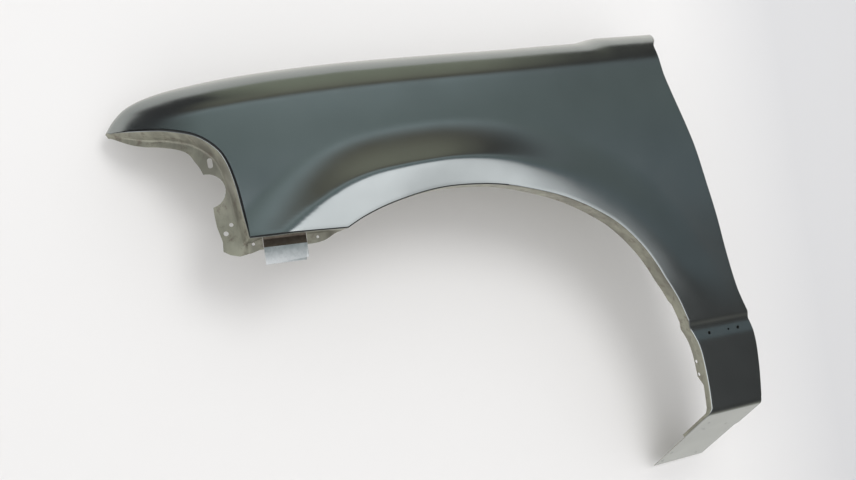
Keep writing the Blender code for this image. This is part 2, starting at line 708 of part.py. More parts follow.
def material(name, color, metallic, roughness):
    finish = bpy.data.materials.new(name)
    finish.use_nodes = True
    shader = finish.node_tree.nodes["Principled BSDF"]
    shader.inputs["Base Color"].default_value = (*color, 1.0)
    shader.inputs["Metallic"].default_value = metallic
    shader.inputs["Roughness"].default_value = roughness
    return finish


def place_object(name, mesh, group, parent, finish=None):
    thing = bpy.data.objects.new(name, mesh)
    group.objects.link(thing)
    thing.parent = parent
    if finish:
        mesh.materials.append(finish)
    return thing


def thicken(thing, thickness):
    """Gives an open sheet its thickness on the side away from its faces."""
    solid = thing.modifiers.new("sheet thickness", "SOLIDIFY")
    solid.thickness = thickness
    solid.offset = -1.0
    solid.use_even_offset = True
    return solid


def cutter(group, parent, name, at, axis, radius, half_run=0.0, reach=CUTTER_DEPTH):
    """A round or slotted cutter; a slot's long side runs as near to vertical as its axis allows."""
    shape = bmesh.new()
    bmesh.ops.create_cone(shape, cap_ends=True, segments=HOLE_SIDES, radius1=radius, radius2=radius,
                          depth=2.0 * reach)
    for vert in shape.verts:
        vert.co.y += math.copysign(half_run, vert.co.y)
    mesh = bpy.data.meshes.new(name)
    shape.to_mesh(mesh)
    shape.free()
    thing = place_object(name, mesh, group, parent)
    thing.matrix_local = Matrix.Translation(at) @ axis.to_track_quat("Z", "Y").to_matrix().to_4x4()
    thing.display_type = "WIRE"
    thing.hide_render = True
    return thing


def box_cutter(group, parent, name, low, high):
    """A square-edged cutter between two corners."""
    shape = bmesh.new()
    bmesh.ops.create_cube(shape, size=1.0)
    mesh = bpy.data.meshes.new(name)
    bmesh.ops.scale(shape, vec=high - low, verts=shape.verts)
    bmesh.ops.translate(shape, vec=(low + high) / 2.0, verts=shape.verts)
    shape.to_mesh(mesh)
    shape.free()
    thing = place_object(name, mesh, group, parent)
    thing.display_type = "WIRE"
    thing.hide_render = True
    return thing


def front_wall_foot(x):
    """Where the wall under the front lower edge ends, above its lip."""
    corner, start = lamp_edge(0.0), arch_edge(arch_front_angle())
    place = corner.lerp(start, (x - corner.x) / (start.x - corner.x))
    inward = Vector((0.0, 1.0, 0.0))
    run = surface_run(place, Vector((0.0, -1.0)))
    fold = turned(skin(place.x, place.y), run, inward, FOLD_RADIUS, 2)
    return fold[-1] + inward * LAMP_WALL_DEPTH


def bracket_frame():
    """A frame on the inner end of the front wall: along it, inward and up from its first corner."""
    first = front_wall_foot(LAMP_CORNER_X + BRACKET_INSET)
    last = front_wall_foot(LAMP_CORNER_X + BRACKET_INSET + BRACKET_WIDTH)
    along = (last - first).normalized()
    inward = Vector((-along.y, along.x, 0.0)).normalized()
    frame = Matrix((along, inward, along.cross(inward))).transposed().to_4x4()
    frame.translation = first
    return frame, (last - first).length


def make_cutters(group, parent):
    """Every hole, slot and notch of the stamping."""
    side = Vector((0.0, 1.0, 0.0))
    for k, share in enumerate(RAIL_HOLE_SHARES):
        middle = rail_section(hood_place(share))[-2]
        cutter(group, parent, f"rail_hole_{k + 1}", middle, Vector((0.0, 0.0, 1.0)), RAIL_HOLE_RADIUS)
    for k, (x, radius) in enumerate(leg_holes()):
        cutter(group, parent, f"leg_hole_{k + 1}", skin(x, LEG_HOLE_Z), side, radius)
    for k in range(2):
        z = ARCH_HOLE_Z - ARCH_HOLE_PITCH * k
        at = Vector((arch_edge(arch_angle_at(z)).x, ARCH_HOLE_DEPTH_IN, z))
        cutter(group, parent, f"arch_hole_{k + 1}", at, Vector((1.0, 0.0, 0.0)), ARCH_HOLE_RADIUS)
    for k, (across, share, size) in enumerate(FOOT_HOLE_SHARES):
        at = foot_point(1.0 + share, across)
        cutter(group, parent, f"foot_hole_{k + 1}", at, foot_inward(1.0), FOOT_HOLE_RADIUS * size)
    for name, ahead, above, radius, half_run in (
            ("lamp_slot", LAMP_SLOT_AHEAD, LAMP_SLOT_ABOVE, LAMP_SLOT_RADIUS, LAMP_SLOT_HALF_RUN),
            ("lamp_hole", LAMP_HOLE_AHEAD, LAMP_HOLE_ABOVE, LAMP_HOLE_RADIUS, 0.0),
            ("lamp_locator", LOCATOR_AHEAD, LOCATOR_ABOVE, LOCATOR_RADIUS, 0.0),
            ("lamp_bite", BITE_AHEAD, BITE_ABOVE, BITE_RADIUS, 0.0)):
        at = skin(LAMP_CORNER_X - ahead, LAMP_CORNER_Z + above) + side * (LAMP_WALL_DEPTH + FOLD_RADIUS * 2.0)
        cutter(group, parent, name, at, side, radius, half_run, CUTTER_REACH / 2.0)
    corner, start = lamp_edge(0.0), arch_edge(arch_front_angle())
    for k, share in enumerate(FRONT_HOLE_SHARES):
        foot = front_wall_foot(corner.x + (start.x - corner.x) * share)
        at = foot - Vector((0.0, 0.0, FRONT_HOLE_DROP))
        cutter(group, parent, f"front_hole_{k + 1}", at, side, FRONT_HOLE_RADIUS)
    frame, width = bracket_frame()
    low = Vector((-BRACKET_SIDE_GAP, -BRACKET_NOTCH, -CUTTER_REACH))
    high = Vector((width + BRACKET_SIDE_GAP, CUTTER_REACH, BRACKET_CLEARANCE))
    box_cutter(group, parent, "bracket_gap", low, high).matrix_local = frame


def leg_holes():
    """Place in X and radius of each hole in the strip across the leg."""
    front, rear = arch_edge(arch_angle_at(LEG_HOLE_Z)).x, rear_edge(LEG_HOLE_Z).x
    return [(front + (rear - front) * share, LEG_HOLE_RADIUS * size) for share, size in LEG_HOLE_SHARES]


def make_panel(group, cutters, parent):
    finish = material("dark_primer", (0.085, 0.09, 0.09), 0.3, 0.34)
    panel = place_object("fender_panel", panel_mesh(), group, parent, finish)
    thicken(panel, SHEET)
    cut = panel.modifiers.new("holes", "BOOLEAN")
    cut.operation = "DIFFERENCE"
    cut.operand_type = "COLLECTION"
    cut.collection = cutters
    cut.solver = "EXACT"
    panel.data.shade_smooth()
    return panel


def make_bracket(group, parent):
    """The tab bracket: welded on the front wall, bent down behind it, then out and down again."""
    frame, width = bracket_frame()
    along, inward, up = (frame.col[k].to_3d() for k in range(3))
    out, down = -inward, -up
    behind = inward * (BRACKET_SHEET + SEAT_GAP)
    start = frame.translation + up * (SHEET + SEAT_GAP + BRACKET_SHEET) + behind + out * BRACKET_TAB
    profile = [start]
    turn_at = start + inward * BRACKET_TAB
    profile.append(turn_at)
    lean = (down * BRACKET_UPPER_DROP + out * BRACKET_UPPER_OUT).normalized()
    profile += turned(turn_at, inward, down, BRACKET_RADIUS, 3)
    profile.append(profile[-1] + down * BRACKET_RADIUS)
    profile += turned(profile[-1], down, lean, BRACKET_RADIUS, 2)
    profile.append(profile[-1] + lean * BRACKET_UPPER_DROP)
    hang = (down * BRACKET_PLATE_DROP + out * BRACKET_PLATE_OUT).normalized()
    profile += turned(profile[-1], lean, hang, BRACKET_RADIUS, 2)
    profile.append(profile[-1] + hang * BRACKET_PLATE_DROP)
    sheet = Sheet()
    near = [sheet.add(point) for point in profile]
    far = [sheet.add(point + along * width) for point in profile]
    sheet.band(near, far)
    finish = material("galvanised_steel", (0.52, 0.55, 0.58), 0.8, 0.4)
    mesh = sheet.mesh("front_lower_bracket")
    shape = bmesh.new()
    shape.from_mesh(mesh)
    lowest = min(vert.co.z for vert in shape.verts)
    corners = [vert for vert in shape.verts if vert.co.z < lowest + PROBE]
    bmesh.ops.bevel(shape, geom=corners, offset=BRACKET_CORNER, segments=3, affect="VERTICES")
    shape.to_mesh(mesh)
    shape.free()
    bracket = place_object("front_lower_bracket", mesh, group, parent, finish)
    thicken(bracket, BRACKET_SHEET)
    return bracket


def make_nut(group, cutters, parent, name, x, hole_radius):
    """A hexagonal weld nut on the back of the leg, in line with its hole."""
    seat = skin(x, LEG_HOLE_Z).y + SHEET + SEAT_GAP + LEG_SLANT_SHARE * NUT_RADIUS
    shape = bmesh.new()
    bmesh.ops.create_cone(shape, cap_ends=True, segments=6, radius1=NUT_RADIUS, radius2=NUT_RADIUS,
                          depth=NUT_HEIGHT)
    mesh = bpy.data.meshes.new(name)
    shape.to_mesh(mesh)
    shape.free()
    finish = material("phosphated_steel", (0.05, 0.05, 0.05), 0.8, 0.5)
    nut = place_object(name, mesh, group, parent, finish)
    centre = Vector((x, seat + NUT_HEIGHT / 2.0, LEG_HOLE_Z))
    axis = Vector((0.0, 1.0, 0.0))
    nut.matrix_local = Matrix.Translation(centre) @ axis.to_track_quat("Z", "Y").to_matrix().to_4x4()
    bore = cutter(cutters, parent, f"{name}_bore", centre, axis, hole_radius * NUT_BORE_SHARE, 0.0, NUT_HEIGHT)
    cut = nut.modifiers.new("bore", "BOOLEAN")
    cut.operation = "DIFFERENCE"
    cut.object = bore
    cut.solver = "EXACT"
    return nut


def main():
    for thing in list(bpy.data.objects):
        bpy.data.objects.remove(thing, do_unlink=True)
    parts = collection("car_fender")
    cutters = collection("fender_cutters")
    bores = collection("nut_cutters")
    middle = rail_section(hood_place(MOUNT_SHARE))[-2]
    centre = bpy.data.objects.new("wheel_centre", None)
    parts.objects.link(centre)
    centre.location = (-middle.x, -middle.y, SHEET - middle.z)
    make_cutters(cutters, centre)
    make_panel(parts, cutters, centre)
    make_bracket(parts, centre)
    for name, (x, radius) in zip(("leg_nut_front", "leg_nut_middle", "leg_nut_rear"), leg_holes()):
        make_nut(parts, bores, centre, name, x, radius)


main()
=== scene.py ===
# %% [markdown]
# # The finish of a car fender
# A front left fender is one steel stamping: a skin that is flared round the wheel, folded flanges on
# every edge, and a foot plate that is bent in under the leg. A tab for the bumper and three weld nuts are
# welded to it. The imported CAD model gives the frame: +X runs to the rear of the vehicle, +Y inwards and
# +Z up. The skin is drawn again here from its sizes, with many more sections, because gloss shows every
# flat facet.

import json
import math

import bmesh
import bpy
from mathutils import Matrix, Vector

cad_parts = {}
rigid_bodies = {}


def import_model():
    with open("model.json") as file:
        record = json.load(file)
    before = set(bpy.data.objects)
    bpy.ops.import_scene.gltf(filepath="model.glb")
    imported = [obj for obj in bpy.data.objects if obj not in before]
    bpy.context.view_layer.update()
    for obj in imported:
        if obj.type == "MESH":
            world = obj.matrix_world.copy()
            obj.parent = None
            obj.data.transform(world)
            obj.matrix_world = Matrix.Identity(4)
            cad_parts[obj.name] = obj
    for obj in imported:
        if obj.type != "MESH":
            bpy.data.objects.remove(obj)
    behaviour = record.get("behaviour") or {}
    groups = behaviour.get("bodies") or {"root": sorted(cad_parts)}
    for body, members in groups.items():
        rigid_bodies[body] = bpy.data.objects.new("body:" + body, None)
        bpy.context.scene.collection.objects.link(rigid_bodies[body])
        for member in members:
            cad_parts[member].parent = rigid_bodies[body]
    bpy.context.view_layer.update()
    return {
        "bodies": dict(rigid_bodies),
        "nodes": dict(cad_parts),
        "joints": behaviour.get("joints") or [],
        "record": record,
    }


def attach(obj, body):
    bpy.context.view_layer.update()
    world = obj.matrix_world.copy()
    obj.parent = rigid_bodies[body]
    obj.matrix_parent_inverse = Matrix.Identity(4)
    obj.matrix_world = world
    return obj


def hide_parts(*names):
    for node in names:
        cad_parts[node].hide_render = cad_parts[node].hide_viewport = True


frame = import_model()
print("CAD nodes:", sorted(frame["nodes"]))

# %% [markdown]
# Every colour is written as the hex value that a screen shows. Blender's shaders work in linear light, so
# one function turns a hex value to linear. Another adds any node, with its settings and its links, to any
# tree.


# %% Colours and nodes
def linear(hex_code):
    """Linear RGBA from an sRGB hex value."""
    parts = [int(hex_code[i:i + 2], 16) / 255 for i in (1, 3, 5)]
    return (*[c / 12.92 if c <= 0.04045 else ((c + 0.055) / 1.055) ** 2.4 for c in parts], 1.0)


def feed(tree, node, feeds):
    """Gives each input, by name or number, a value or another node's output."""
    for name, value in feeds.items():
        if isinstance(value, bpy.types.NodeSocket):
            tree.links.new(value, node.inputs[name])
        else:
            node.inputs[name].default_value = value


def add(tree, kind, feeds=None, **settings):
    """Adds a node with its settings and feeds."""
    made = tree.nodes.new(kind)
    for name, value in settings.items():
        setattr(made, name, value)
    feed(tree, made, feeds or {})
    return made


def reckon(tree, operation, *terms):
    """The result of a Math node on sockets or numbers."""
    return add(tree, "ShaderNodeMath", dict(enumerate(terms)), operation=operation).outputs[0]


def span(tree, value, low, high, start=0.3, end=0.7):
    """Turns a value's range, from start to end, into the range from low to high."""
    return add(tree, "ShaderNodeMapRange", {"Value": value, "From Min": start, "From Max": end,
                                            "To Min": low, "To Max": high}).outputs[0]


def blend(tree, share, first, second):
    """A colour between two colours, by a share."""
    mixed = add(tree, "ShaderNodeMix", data_type="RGBA")
    sockets = {socket.identifier: i for i, socket in enumerate(mixed.inputs)}
    feed(tree, mixed, {0: share, sockets["A_Color"]: first, sockets["B_Color"]: second})
    return [socket for socket in mixed.outputs if socket.type == "RGBA"][0]


def layer(tree, share, first, second):
    """One shader over another, by a share."""
    return add(tree, "ShaderNodeMixShader", {0: share, 1: first, 2: second}).outputs[0]


def noise(tree, size_mm, detail=2.0, roughness=0.5, stretch=(1.0, 1.0, 1.0)):
    """A noise whose lumps are about a given size in millimetres, on the object's own coordinates."""
    place = add(tree, "ShaderNodeTexCoord").outputs["Object"]
    place = add(tree, "ShaderNodeMapping", {"Vector": place, "Scale": stretch}).outputs[0]
    return add(tree, "ShaderNodeTexNoise", {"Vector": place, "Scale": 1000.0 / size_mm, "Detail": detail,
                                            "Roughness": roughness}).outputs["Fac"]


def bump(tree, size_mm, detail, depth, strength):
    """A normal disturbed by a noise of a given size and depth."""
    return add(tree, "ShaderNodeBump", {"Height": noise(tree, size_mm, detail), "Distance": depth,
                                        "Strength": strength}).outputs[0]


def new_material(name):
    """A material with a Principled shader and its output."""
    made = bpy.data.materials.new(name)
    made.use_nodes = True
    tree = made.node_tree
    tree.nodes.clear()
    shader = add(tree, "ShaderNodeBsdfPrincipled")
    add(tree, "ShaderNodeOutputMaterial", {"Surface": shader.outputs[0]})
    return made, tree, shader


# %% [markdown]
# The skin is cold-rolled steel with an electro-dipped primer that was sprayed and baked to a satin gloss.
# It is dark grey with a little mica, so it mirrors the room softly: bright where it faces the lit table,
# and dark where it faces the room. The eye sees a fine orange peel, about 2 mm from crest to crest, and
# faint clouds where the spray was heavier. Round the headlamp opening the fold is painted nearly black,
# a painted shade that stands for the fold's dark reflection.


# %% Sprayed primer
def sprayed_primer():
    made, tree, shader = new_material("sprayed_epoxy_primer")
    clouds = span(tree, noise(tree, 120.0, 3.0), 0.0, 1.0)
    feed(tree, shader, {
        "Base Color": blend(tree, clouds, linear("#84898B"), linear("#8B9092")), "Metallic": 0.92,
        "Roughness": span(tree, noise(tree, 45.0, 4.0), 0.19, 0.23),
        "Normal": bump(tree, 2.2, 1.0, 0.00002, 0.3)})
    return made


# Painted shade: a near-black finish for the dark fold round the headlamp opening.
def painted_fold_shade():
    """Painted shade for the fold round the headlamp opening: nearly black and glossy, in place of its dark
    reflection.
    """
    made, tree, shader = new_material("painted_fold_shade")
    feed(tree, shader, {"Base Color": linear("#101112"), "Specular IOR Level": 0.2, "Roughness": 0.3})
    return made


# %% [markdown]
# Inside, and on the flanges, the same steel has only the thin dip coat. It is paler, warmer and flatter.
# The coat runs a little at the folds, so it is streaked downwards, and handling has left faint brown
# scuffs.


# %% Thin dip coat
def dip_coat():
    made, tree, shader = new_material("thin_dip_coat")
    streaks = span(tree, noise(tree, 34.0, 5.0, 0.6, (1.0, 1.0, 0.35)), 0.0, 1.0, 0.38, 0.62)
    scuffs = span(tree, noise(tree, 13.0, 6.0, 0.7), 0.0, 1.0, 0.53, 0.68)
    streaked = blend(tree, streaks, linear("#6C6B61"), linear("#8C8C7E"))
    feed(tree, shader, {
        "Base Color": blend(tree, scuffs, streaked, linear("#665F55")), "Metallic": 0.3,
        "Roughness": span(tree, noise(tree, 14.0, 4.0), 0.36, 0.50),
        "Normal": bump(tree, 1.6, 2.0, 0.00003, 0.4)})
    return made


# %% [markdown]
# The tab is galvanised strip: zinc crystals a few millimetres across catch the light by turns, which
# gives the bluish silver its mottle. Its upper bend is painted dull brown, as painted shade under the edge
# of the skin. The nuts are phosphated, a matt black-grey that a little oil makes uneven.


# %% Zinc and phosphate
def galvanised_strip():
    made, tree, shader = new_material("galvanised_strip")
    place = add(tree, "ShaderNodeTexCoord").outputs["Object"]
    crystals = add(tree, "ShaderNodeTexVoronoi", {"Vector": place, "Scale": 1000.0 / 3.5}).outputs["Color"]
    shade = add(tree, "ShaderNodeSeparateColor", {0: crystals}).outputs[0]
    feed(tree, shader, {
        "Base Color": blend(tree, shade, linear("#9EA1A4"), linear("#AEB1B4")), "Metallic": 1.0,
        "Roughness": span(tree, shade, 0.34, 0.48, 0.0, 1.0), "Normal": bump(tree, 1.2, 3.0, 0.00003, 0.4)})
    return made


# Painted shade: dull brown for the upper bend of the tab, which hangs in shade under the skin's edge.
def painted_shade_zinc():
    made, tree, shader = new_material("zinc_with_painted_shade")
    patches = span(tree, noise(tree, 6.0, 4.0), 0.0, 1.0)
    feed(tree, shader, {"Base Color": blend(tree, patches, linear("#5A524A"), linear("#6A6259")),
                        "Metallic": 0.6, "Roughness": 0.5})
    return made


def phosphated_steel():
    made, tree, shader = new_material("phosphated_steel")
    patches = span(tree, noise(tree, 2.5, 4.0), 0.0, 1.0)
    feed(tree, shader, {"Base Color": blend(tree, patches, linear("#4A4A48"), linear("#5C5B57")),
                        "Metallic": 0.85, "Roughness": span(tree, noise(tree, 1.1, 2.0), 0.42, 0.6)})
    return made


# The second material here is painted shade for the fold round the headlamp opening.
primer, fold_shade, coat = sprayed_primer(), painted_fold_shade(), dip_coat()
# The second material here is painted shade for the upper bend of the tab.
zinc, shaded_zinc, phosphate = galvanised_strip(), painted_shade_zinc(), phosphated_steel()
print("materials:", [finish.name for finish in (primer, fold_shade, coat, zinc, shaded_zinc, phosphate)])

# %% [markdown]
# The sizes are the real panel's, in metres, drawn about the wheel centre. They follow the CAD source, so
# that the fine skin lies on the solid one. A few differ, after a last look at the photograph: the ridge
# behind the arch is lower and rounder, the rear edge is up to 3 mm off, the kick in the hood line starts
# further back, the strip across the leg slopes outward, and the fold round the headlamp opening is wider.

# %% Sizes of the stamping
# Sheet metal
SHEET = 0.0008
FOLD_RADIUS = 0.0025
SEAT_GAP = 0.0003
PROBE = 0.0004
ALONG, INWARD, UP = Vector((1.0, 0.0, 0.0)), Vector((0.0, 1.0, 0.0)), Vector((0.0, 0.0, 1.0))

# Wheel arch
ARCH_RADIUS = 0.4095
ARCH_BULGE = 0.0115
ARCH_BULGE_SHARES = (
    (-0.060, 0.30), (-0.006, 0.35), (0.021, 0.43), (0.042, 0.51), (0.061, 0.60), (0.085, 0.45),
    (0.104, 0.09), (0.139, 0.26), (0.172, 0.30), (0.191, 0.52), (0.228, 0.87), (0.270, 1.0),
    (0.307, 0.74), (0.352, 0.39), (0.418, -0.05), (0.482, -0.04), (0.537, 0.13), (0.578, 0.22),
    (0.620, 0.45), (0.645, 0.56), (0.700, 0.60),
)
ARCH_FRONT_FROM = math.radians(95)
ARCH_FRONT_TO = math.radians(116)
ARCH_TOP_ANGLE = math.radians(90)
ARCH_CORNER_ANGLE = math.radians(67)

# Flare round the arch: a lip band that faces down, a rounded ridge, and a slope up to the body side
RIDGE_OFFSET = 0.045
RIDGE_FRONT_GAIN = 0.012
LIP_SETBACK = 0.012
FLARE_DEPTH = 0.020
FLARE_REACH = 0.066
FLARE_EASE = 1.6
RIDGE_ROUNDING = 0.0016
RIDGE_REAR_FROM = math.radians(97)
RIDGE_REAR_TO = math.radians(52)
RIDGE_REAR_DEPTH = 0.0090
RIDGE_REAR_ROUNDING = 0.0035
FLARE_FADE_TOP = 0.260
FLARE_FADE_FOOT = 0.100

# Outline, from the arch: the nose tip, the headlamp corner and the hood line
TIP_AHEAD = 0.1085
TIP_ABOVE = 0.154
TIP_X = -(ARCH_RADIUS + TIP_AHEAD)
TIP_Z = ARCH_RADIUS + TIP_ABOVE
SILL_SHARE = 0.8913
LAMP_CORNER_SHARE = 0.850
LAMP_CORNER_RISE = 0.0035
LAMP_CORNER_X = -ARCH_RADIUS * LAMP_CORNER_SHARE
SILL_FRONT_Z = ARCH_RADIUS * SILL_SHARE
LAMP_CORNER_Z = SILL_FRONT_Z + LAMP_CORNER_RISE
HOOD_REAR_BEHIND = 0.075
HOOD_REAR_ABOVE = 0.261
HOOD_REAR_X = ARCH_RADIUS + HOOD_REAR_BEHIND
HOOD_REAR_Z = ARCH_RADIUS + HOOD_REAR_ABOVE
KICK_RISE = 0.008
KICK_SHARES = (0.812, 0.872)
HOOD_LINE_SHARES = (
    (0.0, 0.0), (0.010, 0.136), (0.031, 0.311), (0.068, 0.447), (0.118, 0.544), (0.173, 0.612),
    (0.299, 0.700), (0.470, 0.786), (0.661, 0.864), (0.764, 0.913), (1.0, 1.0),
)
LAMP_EDGE_SHARES = (
    (0.0, 0.0), (0.0, 0.050), (0.018, 0.215), (0.058, 0.384), (0.118, 0.509), (0.224, 0.599),
    (0.344, 0.658), (0.499, 0.699), (0.665, 0.735), (0.776, 0.764), (0.888, 0.802), (0.941, 0.836),
    (0.970, 0.867), (1.0, 1.0),
)

# Body side seen from above, swept in towards the nose, and leaning in above the arch
SWEEP_LENGTH = 0.418
SWEEP_DEPTH = 0.0786
NOSE_LENGTH = 0.158
NOSE_DEPTH = 0.064
TUMBLE_SPAN = 0.1765
TUMBLE_DEPTH = 0.010

# Shoulder that rolls over to the hood gap
ROLL_HEIGHT = 0.065
ROLL_WIDTH = 0.095
ROLL_TIP_WIDTH = 0.020
ROLL_TAPER_AHEAD = 0.022
ROLL_TAPER_LENGTH = 0.180
ROLL_GIRTH = 0.120
ROLL_TURN = math.radians(84)

# Rear edge, from the foot of the leg up to the hood line, between its two extremes
NECK_WIDTH = 0.019
LEG_WIDTH = 0.130
NECK_REAR_X = ARCH_RADIUS + NECK_WIDTH
LEG_REAR_X = ARCH_RADIUS + LEG_WIDTH
REAR_EDGE_SHARES = (
    (0.0, 0.928), (0.029, 0.955), (0.085, 0.991), (0.123, 1.0), (0.163, 0.975), (0.192, 0.930),
    (0.212, 0.872), (0.270, 0.745), (0.357, 0.650), (0.444, 0.575), (0.533, 0.466), (0.620, 0.352),
    (0.664, 0.272), (0.708, 0.186), (0.761, 0.086), (0.812, 0.0135), (0.849, 0.0), (0.881, 0.018),
    (0.920, 0.189), (1.0, 0.5045),
)

# Leg behind the wheel, with its step
LEG_TOP_Z = 0.176
LEG_KNEE_Z = 0.152
STEP_TOP_Z = 0.137
STEP_FOOT_Z = 0.119
STEP_DEPTH = 0.008
STRIP_FOOT_Z = 0.096
STRIP_LEAN = 0.0034
STRIP_SLOPE = math.atan(STRIP_LEAN / (STEP_FOOT_Z - STRIP_FOOT_Z))
LEG_FOOT_Z = -0.022
LEG_SLANT_SHARE = 0.044

# Foot plate, bent in below the leg
FOOT_BEND_RADIUS = 0.018
FOOT_BEND_TURN = math.radians(58.6)
FOOT_PLATE_LENGTH = 0.209
FOOT_FRONT_IN = 0.002
FOOT_REAR_IN = 0.006
FOOT_NOTCH_IN = 0.005
FOOT_NOTCH_SHARES = (0.36, 0.39)

# Flange of the wheel arch, which runs on along the foot plate
ARCH_FLANGE_DEPTH = 0.021
ARCH_FLANGE_TILT = math.radians(8)
ARCH_FLANGE_LEAN_LOW = math.radians(12)
ARCH_FLANGE_LEAN_MOST = math.radians(45)
ARCH_FLANGE_LEAN_HIGH = math.radians(80)
LEG_FLANGE_TILT = math.radians(2)
LEG_FLANGE_DEPTH = 0.0095
FOOT_FLANGE_DEPTH = 0.003
FLANGE_NOTCH_FOOT_Z = 0.168
FLANGE_NOTCH_IN = 0.004
LEG_FLANGE_TOP_Z = 0.033
LEG_FLANGE_FOOT_Z = 0.018
FOOT_FLANGE_SHARE = 0.40

# Joggled flange round the headlamp opening and along the front lower edge
LAMP_WALL_DEPTH = 0.022
LAMP_WALL_TILT = math.radians(12)
BRACKET_SHARE = 0.13
LAMP_LIP_WIDTH = 0.028
LAMP_LIP_SLOPE = 0.3
FRONT_LIP_WIDTH = 0.014
FRONT_LIP_TURN_SHARES = (0.75, 0.9)
FRONT_LIP_FADE_SHARES = (0.62, 0.6)
LAMP_CORNER_SHARES = (0.12, 0.24, 0.40, 0.65)
LAMP_LIP_SHARES = (
    (0.0, 0.02), (0.10, 0.12), (0.20, 0.25), (0.36, 0.26), (0.40, 0.30), (0.45, 0.42), (0.50, 0.64),
    (0.55, 0.76), (0.60, 0.82), (0.80, 0.90), (1.0, 1.0),
)
TIP_SHARE = 0.30
TIP_LIP_TURN_SHARE = 0.85
LAMP_WALL_SHARES = ((0.0, 0.05), (0.16, 0.55), (0.30, 1.0), (1.0, 1.0))
LAMP_FOLD_SHARES = ((0.0, 0.5), (0.20, 2.2), (0.92, 2.2), (1.0, 1.0))

# Gutter and flange bolted to the wing rail
RAIL_BREAK_SHARE = 0.537
RAIL_DROP = 0.0355
RAIL_SLOPE_SHARE = 0.087
RAIL_WIDTH = 0.034
RAIL_START_SHARE = 0.045
RAIL_TAPER_SHARE = 0.10
RAIL_START_WIDTH_SHARE = 0.3

# Flange in the door gap
DOOR_FLANGE_DEPTH = 0.013
DOOR_FLANGE_TOP_SHARE = 0.45
DOOR_FLANGE_TOP_DEPTH_SHARE = 0.35

# Where the fender is held: a point on the rail flange
MOUNT_SHARE = 0.676

# %% Sizes of the holes, the bracket and the nuts
RAIL_HOLE_RADIUS = 0.0045
RAIL_HOLE_SHARES = (0.158, 0.317, 0.477, 0.616, 0.756, 0.900)
LEG_HOLE_Z = 0.1075
LEG_HOLE_RADIUS = 0.0030
LEG_HOLE_SHARES = ((0.248, 1.0), (0.589, 0.67), (0.761, 1.0))
ARCH_HOLE_Z = 0.060
ARCH_HOLE_PITCH = 0.023
ARCH_HOLE_RADIUS = 0.0030
ARCH_HOLE_DEPTH_IN = 0.0355
FOOT_HOLE_RADIUS = 0.0025
FOOT_HOLE_SHARES = (
    (0.242, 0.290, 1.0), (0.210, 0.165, 0.7), (0.671, 0.290, 1.0), (0.099, 0.740, 1.0),
    (0.083, 0.910, 1.0), (0.770, 0.910, 1.2),
)
LAMP_SLOT_AHEAD = 0.036
LAMP_SLOT_ABOVE = 0.1195
LAMP_SLOT_RADIUS = 0.0036
LAMP_SLOT_HALF_RUN = 0.0042
LAMP_HOLE_AHEAD = 0.018
LAMP_HOLE_ABOVE = 0.023
LAMP_HOLE_RADIUS = 0.0030
LOCATOR_AHEAD = 0.0275
LOCATOR_ABOVE = 0.0105
LOCATOR_RADIUS = 0.0036
BITE_AHEAD = 0.045
BITE_ABOVE = 0.0775
BITE_RADIUS = 0.026
FRONT_HOLE_SHARES = (0.057, 0.713)
FRONT_HOLE_RADIUS = 0.0022
FRONT_HOLE_DROP = 0.0070
CUTTER_REACH = 0.030
CUTTER_DEPTH = 0.010

# Bracket below the headlamp corner
BRACKET_INSET = 0.0215
BRACKET_WIDTH = 0.0625
BRACKET_SHEET = 0.0012
BRACKET_RADIUS = 0.0020
BRACKET_TAB = 0.022
BRACKET_NOTCH = 0.0095
BRACKET_UPPER_DROP = 0.013
BRACKET_UPPER_OUT = 0.008
BRACKET_PLATE_DROP = 0.0255
BRACKET_PLATE_OUT = 0.002
BRACKET_CORNER = 0.004
BRACKET_CLEARANCE = 0.0030
BRACKET_SIDE_GAP = 0.0005
BRACKET_EDGE_SHARE = 0.2
BRACKET_EDGE_ANGLE = math.radians(50)

# Weld nuts behind the leg
NUT_RADIUS = 0.0062
NUT_HEIGHT = 0.0055
NUT_BORE_SHARE = 0.72
NUT_BORE_REACH = 1.2
NUT_BORE_SIDES = 32
NUT_CHAMFER_TOP_SHARE = 0.955
NUT_CHAMFER_FOOT_SHARE = 1.35
NUT_CHAMFER_SIDES = 48
NUT_THREADS = 6.0
NUT_THREAD_RINGS = 4.0
NUT_THREAD_SHARE = 0.09

# Spot welds of the tab
WELD_RADIUS = 0.0025
WELD_RIM = 0.00022
WELD_SIDES = 28
WELD_RIM_SIDES = 10
WELD_SHARES = (0.2, 0.5, 0.8)

# %% How finely the forms are divided
FRONT_COLUMNS = 36
ARCH_FRONT_COLUMNS = 48
ARCH_REAR_COLUMNS = 44
BODY_COLUMNS = 60
STEP_COLUMNS = 12
STRIP_COLUMNS = 4
LEG_COLUMNS = 10
BEND_COLUMNS = 14
PLATE_COLUMNS = 14
NEAR_ROW_SPLITS = 3
FAR_ROWS = 30
FOLD_STEPS = 5
HOLE_SIDES = 28
NEAR_ROW_SHARES = (0.0, 0.055, 0.105, 0.130, 0.147, 0.166, 0.200, 0.260, 0.340)
FRONT_SPREAD_POWER = 1.4
FRONT_BOW_FADE = 0.8
ARCH_BOW_FADE = 1.6
ANGLE_PASSES = 30
TAB_TURN_STEPS = 6
TAB_BEND_STEPS = 4
TAB_CORNER_STEPS = 8
SHARP_ANGLE = math.radians(34)

# %% [markdown]
# A pressed panel is a smooth surface over a plan. The plan here is the sheet rolled flat: x along the
# vehicle and girth up the sheet. One function, skin, lifts a point of the plan into space: it adds the
# sweep towards the nose, the flare round the arch, the step of the leg and the shoulder that rolls over
# to the hood gap. The arch lip, the headlamp edge and the rear edge are curves in the plan, drawn through
# a few places as shares of the outline.


# %% The surface of the skin
def ease(share):
    """A share between 0 and 1, eased at both ends."""
    share = min(max(share, 0.0), 1.0)
    return share * share * (3.0 - 2.0 * share)


